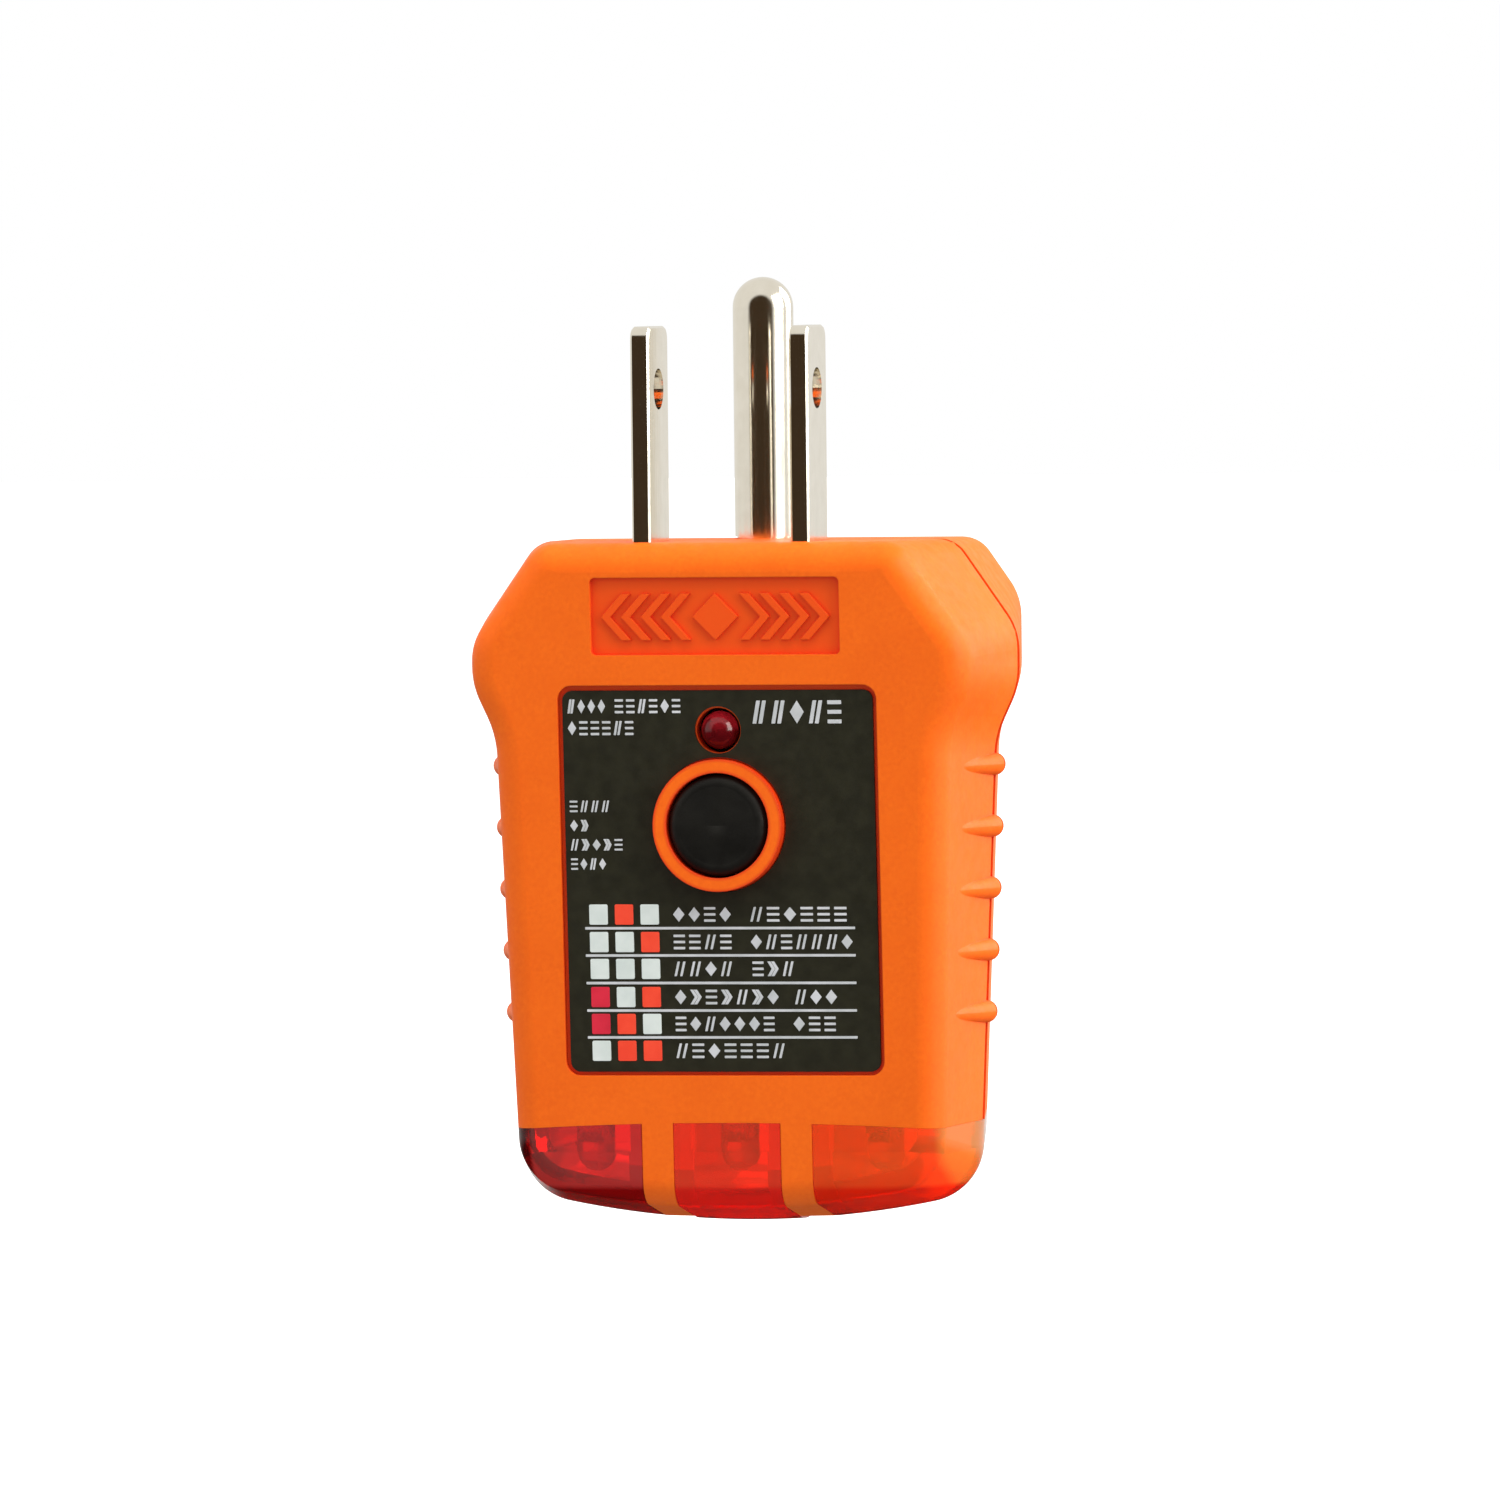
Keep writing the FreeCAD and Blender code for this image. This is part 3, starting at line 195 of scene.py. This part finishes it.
def clear(name, low, high, rough=(0.02, 0.07), transmission=1.0, ior=1.49, depth=0.002,
          absorb=None, edge=None, foot_shade=None):
    """Tinted clear plastic with moulding waves and a few fine scuffs.

    absorb is what it takes up per metre. edge is where along X a painted side tone starts and is full, and
    that tone: darker for painted shade, lighter for a painted highlight. The last argument is the painted
    shade of the lower rim.
    """
    finish = Finish(name, Transmission_Weight=transmission, IOR=ior, Specular_IOR_Level=0.3)
    tint = finish.ramp(finish.noise(4.0, 3.0), low, high)
    across, _, up = finish.axes()

    def turn_to(tint, position, start, end, other):
        share = finish.sum("DIVIDE", finish.sum("SUBTRACT", position, start * MM), (end - start) * MM)
        return finish.mix(finish.ramp(share, 0.0, 1.0), tint, other)

    # painted side tone across X, and painted shade along the lower rim
    if edge:
        tint = turn_to(tint, across, *edge)
    if foot_shade:
        tint = turn_to(tint, up, *LENS_SHADED_FOOT, foot_shade)
    finish.colour(tint)
    finish.rough(finish.ramp(finish.noise(0.7, 6.0), rough[0], rough[1], 0.45, 0.7))
    finish.relief(finish.noise(2.5, 2.0), depth)
    if absorb:
        density = max(absorb)
        node = finish.nodes.new("ShaderNodeVolumeAbsorption")
        node.inputs["Color"].default_value = tuple(1.0 - share / density for share in absorb) + (1.0,)
        node.inputs["Density"].default_value = density
        finish.link(node.outputs["Volume"], finish.nodes["Material Output"].inputs["Volume"])
    return finish


def badge_shade_mask(finish, x, y, z):
    """1 on the sunk floor of the badge, where a redder painted shade goes, 0 elsewhere."""
    front = finish.sum("ADD", finish.sum("MULTIPLY", z, FACE_SLOPE), y)
    below = finish.sum("GREATER_THAN", front, (FACE_Y + 0.1) * MM)
    inside = finish.sum("MULTIPLY", below,
                        finish.sum("LESS_THAN", finish.sum("ABSOLUTE", x), BADGE_HALF * MM))
    for limit, sign in ((BADGE_FOOT, "GREATER_THAN"), (BADGE_TOP, "LESS_THAN")):
        inside = finish.sum("MULTIPLY", inside, finish.sum(sign, z, limit * MM))
    return finish.sum("MULTIPLY", inside, finish.sum("LESS_THAN", y, (FACE_Y + 1.2) * MM))


def ring_side_shade(finish, x, z):
    """Painted shade that grows towards the inner and outer side of the button ring.

    It depends on X and Z only, so the same circles also fall on the back of the case.
    """
    down = finish.sum("SUBTRACT", z, BUTTON_Z * MM)
    away = finish.sum("SQRT", finish.sum("ADD", finish.sum("POWER", x, 2.0), finish.sum("POWER", down, 2.0)))
    off_crest = finish.sum("ABSOLUTE", finish.sum("SUBTRACT", away, RING_CREST * MM))
    on_ring = finish.sum("LESS_THAN", off_crest, RING_HALF * 1.1 * MM)
    share = finish.ramp(finish.sum("DIVIDE", off_crest, RING_HALF * MM), 0.0, 0.75, 0.45, 1.0)
    return finish.sum("MULTIPLY", on_ring, share)


def orange_plastic():
    """Satin orange moulding; the badge recess, the sides of the button ring and the nooks get a redder
    painted shade.
    """
    finish = Finish("orange_shell_plastic", Specular_IOR_Level=0.24, Subsurface_Weight=0.06,
                    Subsurface_Scale=0.0006)
    body = finish.ramp(finish.noise(7.0, 6.0), linear(236, 98, 4), linear(243, 105, 7))
    fleck = finish.ramp(finish.noise(0.35, 2.0), linear(233, 95, 4), linear(246, 110, 10), 0.3, 0.7)
    body = finish.mix(finish.ramp(finish.noise(1.7, 3.0), 0.2, 0.55), body, fleck)
    x, y, z = finish.axes()
    # painted shade: the sunk floor of the badge recess is redder
    body = finish.mix(badge_shade_mask(finish, x, y, z), body, linear(236, 80, 8))
    # painted shade: redder towards the inner and outer side of the button ring
    body = finish.mix(ring_side_shade(finish, x, z), body, linear(214, 30, 8))
    # painted shade: redder where ambient occlusion finds nooks within 0.9 mm
    nook_shade = finish.nodes.new("ShaderNodeAmbientOcclusion")
    nook_shade.samples = 6
    nook_shade.inputs["Distance"].default_value = 0.9 * MM
    depth = finish.ramp(nook_shade.outputs["AO"], 1.0, 0.0, 0.35, 0.85)
    finish.colour(finish.mix(depth, body, linear(226, 52, 6)))
    finish.rough(finish.ramp(finish.noise(1.1, 5.0), 0.44, 0.56))
    finish.relief(finish.noise(0.16, 3.0), 0.005, 0.12)
    return finish.material


def banded(name, body, bands, pitch, start):
    """Lacquered axial part with colour rings along X."""
    finish = Finish(name)
    position = finish.axes()[0]
    colour = finish.ramp(finish.noise(1.2, 4.0), body, tuple(0.85 * c for c in body[:3]) + (1.0,))
    for number, band in enumerate(bands):
        off = finish.sum("SUBTRACT", position, (start + pitch * number) * MM)
        near = finish.sum("LESS_THAN", finish.sum("ABSOLUTE", off), BAND_HALF * MM)
        colour = finish.mix(near, colour, band)
    finish.colour(colour)
    finish.rough(finish.ramp(finish.noise(0.6, 4.0), 0.25, 0.4))
    finish.relief(finish.noise(0.4, 3.0), 0.01)
    return finish.material


def wear(*names, material):
    """Gives CAD nodes a finish through their material slots."""
    for name in names:
        for slot in NODES[name].material_slots:
            slot.material = material


def ink(name, low, high):
    return plastic(name, low, high, (0.4, 0.55), 0.12, 0.003, cloud=2.0).material


orange = orange_plastic()
nickel = metal("nickel_plate", linear(233, 226, 211), linear(242, 236, 223), (0.08, 0.16),
               (1, 1, 0.06)).material
tinned = metal("tinned_wire", linear(196, 196, 192), linear(222, 222, 218), (0.2, 0.34)).material
solder = metal("solder", linear(178, 180, 182), linear(206, 208, 210), (0.16, 0.3)).material
steel = metal("plated_steel", linear(188, 190, 192), linear(214, 216, 218), (0.22, 0.36),
              (0.1, 1, 1)).material
brass = metal("strap_brass", linear(196, 152, 74), linear(222, 182, 98), (0.22, 0.38),
              (1, 1, 0.1)).material
zinc = metal("zinc_screw", linear(168, 170, 176), linear(200, 202, 206), (0.24, 0.4)).material
spring_steel = metal("spring_steel", linear(176, 178, 182), linear(206, 208, 212), (0.18, 0.3)).material
ink_grey = ink("ink_grey", linear(186, 190, 192), linear(206, 208, 212))
ink_pale = ink("ink_pale", linear(206, 216, 212), linear(220, 228, 224))
ink_orange = ink("ink_orange", linear(244, 64, 34), linear(252, 76, 44))
ink_crimson = ink("ink_crimson", linear(206, 22, 52), linear(222, 30, 60))
film = plastic("label_film", linear(37, 36, 24), linear(44, 43, 29), (0.4, 0.54), 0.2, 0.006,
               cloud=1.2, Specular_IOR_Level=0.3).material
black = plastic("button_black", linear(17, 16, 13), linear(24, 23, 19), (0.5, 0.64), 0.2, 0.012,
                cloud=2.5, Specular_IOR_Level=0.3).material
dark_nylon = plastic("switch_nylon", linear(38, 38, 41), linear(48, 48, 51), (0.42, 0.6),
                     0.25, 0.01).material
cream = plastic("plunger_acetal", linear(216, 210, 192), linear(232, 228, 212), (0.3, 0.45),
                0.3, 0.006).material
carrier = plastic("carrier_nylon", linear(196, 194, 184), linear(216, 214, 206), (0.4, 0.6),
                  0.3, 0.012).material
laminate = plastic("board_laminate", linear(26, 92, 48), linear(36, 112, 58), (0.25, 0.4),
                   0.5, 0.01, cloud=1.5).material
cement = banded("test_resistor_lacquer", linear(126, 152, 164),
                [linear(120, 70, 30), linear(20, 20, 20), linear(210, 120, 30)], 1.6, -2.6)
beige = banded("resistor_lacquer", linear(212, 186, 138),
               [linear(240, 120, 30), linear(240, 120, 30), linear(230, 200, 40), linear(190, 150, 60)],
               0.9, -1.4)
diode_black = plastic("diode_epoxy", linear(24, 24, 26), linear(34, 34, 36), (0.3, 0.45),
                      0.2, 0.008).material

# painted shade: the red lens darkens towards its left side and along its lower rim
lens_red = clear("red_lens_plastic", linear(244, 116, 112), linear(250, 126, 120),
                 transmission=0.84, absorb=(40, 900, 800),
                 edge=(-15.2, -16.4, linear(110, 12, 22)), foot_shade=linear(150, 22, 30)).material
# painted shade: the orange-red lens is redder along its lower rim
lens_orange = clear("orange_red_lens_plastic", linear(254, 104, 72), linear(255, 114, 78),
                    transmission=0.76, absorb=(10, 900, 1200), foot_shade=linear(248, 72, 58)).material
# painted highlight: the right lens is lighter towards its right side; painted shade: redder along its lower
# rim
lens_right = clear("right_lens_plastic", linear(254, 122, 56), linear(255, 132, 62),
                   transmission=0.72, absorb=(8, 380, 1300),
                   edge=(15.6, 17.8, linear(255, 190, 84)), foot_shade=linear(240, 72, 34)).material
lamp_epoxy = clear("clear_epoxy", linear(248, 232, 214), linear(252, 240, 224), (0.04, 0.1),
                   transmission=0.75, ior=1.53).material
indicator_epoxy = clear("red_epoxy", linear(128, 16, 26), linear(146, 22, 32), (0.03, 0.08),
                        transmission=0.7, ior=1.53).material

wear("front_shell", "rear_shell", material=orange)
wear("left_lens", material=lens_red)
wear("middle_lens", material=lens_orange)
wear("right_lens", material=lens_right)
wear("face_label", material=film)
wear("button_cap", material=black)
wear("switch_housing", material=dark_nylon)
wear("switch_cover", material=steel)
wear("switch_plunger", material=cream)
wear("switch_terminals", "indicator_leads", "lamp_leads", material=tinned)
wear("circuit_board", material=laminate)
wear("indicator_lamp", material=indicator_epoxy)
wear("left_lamp", "middle_lamp", "right_lamp", material=lamp_epoxy)
wear("lamp_resistors", material=beige)
wear("diodes", material=diode_black)
wear("test_resistor", material=cement)
wear("neutral_blade", "hot_blade", "ground_pin", material=nickel)
wear("prong_carrier", material=carrier)
wear("ground_strap", material=brass)
wear("case_screws", material=zinc)


# ---------------------------------------------------------------- mesh pieces

def piece(name, mesh, material):
    """A finished bmesh as an object that rides on the casing."""
    bmesh.ops.recalc_face_normals(mesh, faces=mesh.faces)
    data = bpy.data.meshes.new(name)
    mesh.to_mesh(data)
    mesh.free()
    data.materials.append(material)
    made = bpy.data.objects.new(name, data)
    bpy.context.scene.collection.objects.link(made)
    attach(made, CASING)
    return made


def on_label(x, z, rise=0.0):
    """Point of the label's surface at (x, z), raised along -Y, in metres."""
    return Vector((x, FACE_Y + LABEL_DEPTH - FACE_SLOPE * z - rise, z)) * MM


INK, BAR_CORNER = 0.03, 0.06            # how thick the print is, and how round the lead frames are


def print_shape(mesh, outline):
    """Adds one printed area: a thin raised layer with a slightly drawn-in top edge."""
    middle = sum((Vector(p) for p in outline), Vector((0, 0))) / len(outline)
    rings = []
    for inset, rise in ((0.0, -0.01), (0.0, INK * 0.6), (0.02, INK)):
        ring = []
        for point in outline:
            p = Vector(point)
            p += (middle - p).normalized() * inset
            ring.append(mesh.verts.new(on_label(p.x, p.y, rise)))
        rings.append(ring)
    count = len(outline)
    for low, high in zip(rings, rings[1:]):
        for i in range(count):
            mesh.faces.new((low[i], low[(i + 1) % count], high[(i + 1) % count], high[i]))
    mesh.faces.new(rings[-1])
    mesh.faces.new(list(reversed(rings[0])))


def bar(x0, z0, x1, z1, lean, corner):
    """Outline of a bar with cut corners, leaning to the right by lean at its top."""
    tall = z1 - z0
    points = [(x0 + corner, z0), (x1 - corner, z0), (x1, z0 + corner), (x1, z1 - corner),
              (x1 - corner, z1), (x0 + corner, z1), (x0, z1 - corner), (x0, z0 + corner)]
    return [(x + lean * (z - z0) / tall, z) for x, z in points]


def glyph(kind, x, z, wide, tall):
    """Outlines of one filler mark: leaning strokes, level strokes, a diamond or a chevron pair."""
    low, high, stroke = z - tall * 0.5, z + tall * 0.5, tall * 0.17
    if kind == 0:
        lean = wide * 0.3
        return [bar(x, low, x + stroke, high, lean, 0.03),
                bar(x + wide - lean - stroke, low, x + wide - lean, high, lean, 0.03)]
    if kind == 1:
        return [bar(x, level, x + wide, level + stroke, 0.0, 0.03) for level in
                (low, z - stroke * 0.5, high - stroke)]
    if kind == 2:
        middle = x + wide * 0.5
        return [[(middle, low), (x + wide, z), (middle, high), (x, z)]]
    step, half = stroke * 1.25, tall * 0.5
    reach = wide - step * 2.2
    return [[(x + shift, z - half), (x + shift + step, z - half), (x + shift + step + reach, z),
             (x + shift + step, z + half), (x + shift, z + half), (x + shift + reach, z)]
            for shift in (0.0, step * 1.2)]


# Each group of filler marks: left, right, height of its middle, how tall, how many marks.
MARKS = [(-12.0, -8.75, -12.7, 1.1, 4), (-8.2, -2.7, -12.7, 1.1, 6), (-12.0, -6.5, -14.4, 1.1, 6),
         (2.8, 10.3, -13.2, 1.8, 5),
         (-12.0, -8.6, -20.5, 0.9, 4), (-12.0, -10.3, -22.0, 0.9, 2), (-12.0, -7.6, -23.5, 0.9, 5),
         (-12.0, -9.0, -25.0, 0.9, 4)]
# Each chart row: its height, the colours of its three squares, and its groups of marks (left, right, number).
CHART_ROWS = [(-28.95, "WOW", [(-3.93, 1.03, 4), (2.24, 10.3, 6)]),
              (-31.1, "WWO", [(-3.93, 1.03, 4), (2.24, 10.7, 7)]),
              (-33.2, "WWW", [(-3.93, 1.03, 4), (2.33, 5.94, 3)]),
              (-35.4, "RWO", [(-3.93, 4.7, 7), (5.67, 9.35, 3)]),
              (-37.5, "ROW", [(-3.93, 4.3, 7), (5.5, 9.2, 3)]),
              (-39.6, "WOO", [(-3.93, 5.1, 7)])]
CHART_COLUMNS = (-9.9, -7.85, -5.8)
RULES = (-30.02, -32.15, -34.3, -36.45, -38.55)


def printed_label():
    """Filler marks, ruled lines and the chart's lamp squares, as thin raised ink."""
    inks = {key: bmesh.new() for key in "WOR"}
    words = bmesh.new()
    marks = list(MARKS)
    for z, colours, groups in CHART_ROWS:
        for x, key in zip(CHART_COLUMNS, colours):
            print_shape(inks[key], bar(x - 0.74, z - 0.79, x + 0.74, z + 0.79, 0.0, 0.08))
        marks += [(low, high, z, 1.15, count) for low, high, count in groups]
    for z in RULES:
        print_shape(words, bar(-11.0, z - 0.1, 10.6, z + 0.1, 0.0, 0.03))
    for step, (low, high, z, tall, count) in enumerate(marks):
        pitch = (high - low) / count
        for i in range(count):
            kind = (step * 3 + i * 2 + step // 2) % 4 if i % 2 else (step + i) % 3
            for outline in glyph(kind, low + pitch * i, z, pitch * 0.74, tall):
                print_shape(words, outline)
    piece("label_marks", words, ink_grey)
    for key, name, material in (("W", "chart_pale_squares", ink_pale),
                                ("O", "chart_orange_squares", ink_orange),
                                ("R", "chart_crimson_squares", ink_crimson)):
        piece(name, inks[key], material)


def lathe(mesh, profile, centre, axis, steps):
    """Adds a closed solid turned about an axis through centre; profile is (radius, height) in millimetres."""
    rings = []
    for radius, height in profile:
        ring = []
        for i in range(steps if radius > 1e-6 else 1):
            angle = math.tau * i / steps
            a, b = radius * math.cos(angle), radius * math.sin(angle)
            offset = Vector((a, b, height)) if axis == "Z" else Vector((a, height, b))
            ring.append(mesh.verts.new((Vector(centre) + offset) * MM))
        rings.append(ring)
    for low, high in zip(rings, rings[1:]):
        for i in range(steps):
            j = (i + 1) % steps
            corners = [low[i % len(low)], low[j % len(low)], high[j % len(high)], high[i % len(high)]]
            unique = list(dict.fromkeys(corners))
            if len(unique) > 2:
                mesh.faces.new(unique)


def rounded_bar(mesh, low, high):
    """Adds a box with rounded edges between two corners, in millimetres."""
    made = bmesh.ops.create_cube(mesh, size=1.0)
    centre, size = (Vector(low) + Vector(high)) * 0.5, Vector(high) - Vector(low)
    for vert in made["verts"]:
        vert.co = (centre + Vector(a * b for a, b in zip(vert.co, size))) * MM
    edges = list({edge for vert in made["verts"] for edge in vert.link_edges})
    bmesh.ops.bevel(mesh, geom=edges, offset=BAR_CORNER * MM, segments=2, profile=0.5, affect="EDGES")


def lamp_frame(mesh, x, y, z, axis):
    """Lead frame inside a lamp: a post with a reflector cup, and a second post with a flag.

    Each bar below is left, start, right, end, with start and end counted from the lamp's base.
    """
    half = 0.22
    for left, start, right, end in ((-1.45, 0.1, -1.0, 2.0), (-1.3, 1.6, 0.25, 2.3),
                                    (1.0, 0.1, 1.45, 2.1), (0.55, 1.7, 1.3, 2.6)):
        if axis == "Z":
            rounded_bar(mesh, (x + left, y - half, z - end), (x + right, y + half, z - start))
        else:
            rounded_bar(mesh, (x + left, y - end, z - half), (x + right, y - start, z + half))
    cup = [(0.0, -2.2), (0.45, -2.2), (0.7, -2.95), (0.6, -2.95), (0.32, -2.5), (0.0, -2.5)]
    centre = (x - 0.25, y, z)
    lathe(mesh, cup, centre, axis, 20)


def lamp_frames():
    mesh = bmesh.new()
    for x in (-LAMP_X, 0.0, LAMP_X):
        lamp_frame(mesh, x, LAMP_Y, LAMP_BASE, "Z")
    piece("lamp_lead_frames", mesh, tinned)
    mesh = bmesh.new()
    low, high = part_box("indicator_lamp")
    lamp_frame(mesh, 0.0, high.y / MM, (low.z + high.z) * 0.5 / MM, "Y")
    piece("indicator_lead_frame", mesh, tinned)


def solder_joints():
    """Solder cones on both sides of the board, round every lead and switch leg."""
    sides = (-1, 1)
    behind = [(x + side * LEAD_HALF, LAMP_LEADS_Z) for x in (-LAMP_X, 0.0, LAMP_X) for side in sides]
    behind += [(side * LEAD_HALF, INDICATOR_Z) for side in sides]
    behind += [(a * SWITCH_LEG_X, BUTTON_Z + b * SWITCH_LEG_Z) for a in sides for b in sides]
    ahead = [(side * RESISTOR_HALF, z) for side in sides for z in RESISTOR_ROWS]
    ahead += [(x, z) for x in DIODE_COLUMNS for z in DIODE_ENDS]
    ahead += [(side * TEST_RESISTOR_HALF, TEST_RESISTOR_Z) for side in sides]
    cone = [(0.0, 0.0), (0.78, 0.0), (0.72, 0.08), (0.5, 0.22), (0.38, 0.42), (0.33, 0.62), (0.0, 0.66)]
    mesh = bmesh.new()
    for places, start, sign in ((behind, BOARD_BACK, 1.0), (ahead, BOARD_FRONT, -1.0)):
        profile = [(radius, height * sign) for radius, height in cone]
        for x, z in places:
            lathe(mesh, profile, (x, start, z), "Y", 18)
    for face in mesh.faces:
        face.smooth = True
    piece("solder_joints", mesh, solder)


def coil_spring():
    """Wire coil with closed ends."""
    low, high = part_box("button_spring")
    start, end = low.y / MM + SPRING_WIRE, high.y / MM - SPRING_WIRE
    steps, sides, closed = 200, 12, 0.3        # closed is how many turns at each end don't climb
    round_wire = [math.tau * k / sides for k in range(sides)]
    mesh, rings = bmesh.new(), []
    for i in range(steps + 1):
        turn = i / steps * SPRING_TURNS
        climb = min(max((turn - closed) / (SPRING_TURNS - closed * 2.0), 0.0), 1.0)
        smooth = climb * climb * (3 - 2 * climb) * 0.35 + climb * 0.65
        angle = math.tau * turn
        out = Vector((math.cos(angle), 0.0, math.sin(angle)))
        centre = Vector((0.0, start + (end - start) * smooth, BUTTON_Z)) + out * SPRING_RADIUS
        around = [out * math.cos(a) + Vector((0, math.sin(a), 0)) for a in round_wire]
        rings.append([mesh.verts.new((centre + way * SPRING_WIRE) * MM) for way in around])
    for back, front in zip(rings, rings[1:]):
        for k in range(sides):
            following = (k + 1) % sides
            mesh.faces.new((back[k], back[following], front[following], front[k]))
    mesh.faces.new(rings[0])
    mesh.faces.new(rings[-1])
    for face in mesh.faces:
        face.smooth = True
    made = piece("return_spring", mesh, spring_steel)
    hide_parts("button_spring")
    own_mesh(made)


printed_label()
lamp_frames()
solder_joints()
coil_spring()


# ---------------------------------------------------------------- stage, light and camera

AZIMUTH, ROLL = math.radians(13.5), math.radians(-0.63)
DISTANCE, CAMERA_HEIGHT, LENS = 1.5, 0.0288, 462.0     # metres, metres, millimetres
DARK_SIDE = math.radians(4.0)          # middle of the unlit side that polished metal reflects
WHITE, GLOSS_WHITE, DIFFUSE_WHITE = (1, 1, 1, 1), (0.84, 0.83, 0.8, 1), (0.64, 0.64, 0.64, 1)
BEHIND_LENSES = (2.4, 2.0, 1.8, 1)     # what rays see that have gone through clear plastic
UNLIT_SIDE, GROUND = (0.05, 0.032, 0.018, 1), (0.03, 0.018, 0.014, 1)
FLOOR_DROP, FLOOR_GLOW = 0.04, 0.75    # how far below the object the floor is, in metres, and its emission
RIGHT = Vector((math.cos(AZIMUTH), math.sin(AZIMUTH), 0.0))
TOWARDS = Vector((math.sin(AZIMUTH), -math.cos(AZIMUTH), 0.0))
AIM = RIGHT * (1.38 * MM) + Vector((0.0, 0.0, -16.3 * MM))


def floor():
    """Pale paper that glows, so that it melts into the white backdrop."""
    mesh = bmesh.new()
    bmesh.ops.create_grid(mesh, x_segments=24, y_segments=24, size=6.0)
    bmesh.ops.translate(mesh, verts=mesh.verts, vec=(0, 0, cad_box[0].z - FLOOR_DROP))
    data = bpy.data.meshes.new("floor")
    mesh.to_mesh(data)
    mesh.free()
    finish = Finish("floor_paper")
    finish.colour(finish.ramp(finish.noise(400.0), (0.9, 0.9, 0.9, 1), (0.92, 0.92, 0.92, 1)))
    finish.shader.inputs["Roughness"].default_value = 0.9
    finish.shader.inputs["Emission Color"].default_value = WHITE
    finish.shader.inputs["Emission Strength"].default_value = FLOOR_GLOW
    data.materials.append(finish.material)
    made = bpy.data.objects.new("floor", data)
    bpy.context.scene.collection.objects.link(made)
    made.visible_diffuse = made.visible_glossy = False     # it is seen, but doesn't light the object


def softbox(name, azimuth, elevation, distance, wide, tall, power, colour=(1, 1, 1), mirrored=True):
    """Area light at an angle round the object; azimuth counts from the front towards the right."""
    light = bpy.data.lights.new(name, "AREA")
    light.shape, light.size, light.size_y = "RECTANGLE", wide, tall
    light.energy, light.color = power, colour
    made = bpy.data.objects.new(name, light)
    a, e = math.radians(azimuth), math.radians(elevation)
    back = Vector((math.sin(a) * math.cos(e), -math.cos(a) * math.cos(e), math.sin(e)))
    made.location = AIM + back * distance
    made.rotation_mode = "QUATERNION"
    made.rotation_quaternion = (-back).to_track_quat("-Z", "Y")
    made.visible_glossy = mirrored
    bpy.context.scene.collection.objects.link(made)


def studio_world():
    """White all round, brighter through the lenses; polished surfaces see an unlit side and a dark ground."""
    world = bpy.data.worlds.new("studio")
    bpy.context.scene.world = world
    world.use_nodes = True
    world.cycles.sampling_method = "NONE"      # so that each kind of ray gets its own brightness
    nodes, links = world.node_tree.nodes, world.node_tree.links
    place, path = nodes.new("ShaderNodeTexCoord"), nodes.new("ShaderNodeLightPath")

    def share_towards(direction, start, end):
        """Grows from 0 to 1 as a ray turns towards the direction, over a range of cosines."""
        dot = nodes.new("ShaderNodeVectorMath")
        dot.operation = "DOT_PRODUCT"
        dot.inputs[1].default_value = direction
        links.new(place.outputs["Generated"], dot.inputs[0])
        share = nodes.new("ShaderNodeMapRange")
        share.interpolation_type = "SMOOTHSTEP"
        share.inputs["From Min"].default_value = start
        share.inputs["From Max"].default_value = end
        links.new(dot.outputs["Value"], share.inputs["Value"])
        return share.outputs["Result"]

    def blend(share, first, second):
        """first where share is 0 and second where it is 1; each is a colour or a socket."""
        mix = nodes.new("ShaderNodeMix")
        mix.data_type = "RGBA"
        links.new(share, mix.inputs["Factor"])
        for socket, value in ((mix.inputs["A"], first), (mix.inputs["B"], second)):
            if isinstance(value, tuple):
                socket.default_value = value
            else:
                links.new(value, socket)
        return mix.outputs["Result"]

    unlit = share_towards((math.sin(DARK_SIDE), -math.cos(DARK_SIDE), 0.0), 0.6, 0.76)
    ground = share_towards((0.0, 0.0, -1.0), 0.0, 0.25)
    mirrored = blend(ground, blend(unlit, GLOSS_WHITE, UNLIT_SIDE), GROUND)
    through = blend(path.outputs["Is Transmission Ray"], WHITE, BEHIND_LENSES)
    seen = blend(path.outputs["Is Glossy Ray"], through, mirrored)
    links.new(blend(path.outputs["Is Diffuse Ray"], seen, DIFFUSE_WHITE), nodes["Background"].inputs["Color"])


def camera():
    data = bpy.data.cameras.new("camera")
    data.lens, data.sensor_width = LENS, 36.0
    made = bpy.data.objects.new("camera", data)
    made.location = AIM + TOWARDS * DISTANCE
    made.location.z = CAMERA_HEIGHT
    look = (AIM - made.location).to_track_quat("-Z", "Y")
    made.rotation_mode = "QUATERNION"
    made.rotation_quaternion = look @ Quaternion((0, 0, 1), ROLL)
    bpy.context.scene.collection.objects.link(made)
    bpy.context.scene.camera = made


floor()
studio_world()
softbox("key_right", 78, 22, 1.3, 0.9, 1.0, 17.0, (1.0, 0.96, 0.9))
softbox("rim_right", 128, 22, 1.3, 0.7, 1.0, 9.0, (1.0, 0.97, 0.92))
softbox("fill_left", -58, 20, 1.5, 0.9, 1.2, 5.0, mirrored=False)
softbox("top", 20, 78, 1.2, 0.9, 0.9, 14.0, (1.0, 0.97, 0.92), mirrored=False)
camera()
bpy.context.scene.view_settings.view_transform = "Standard"
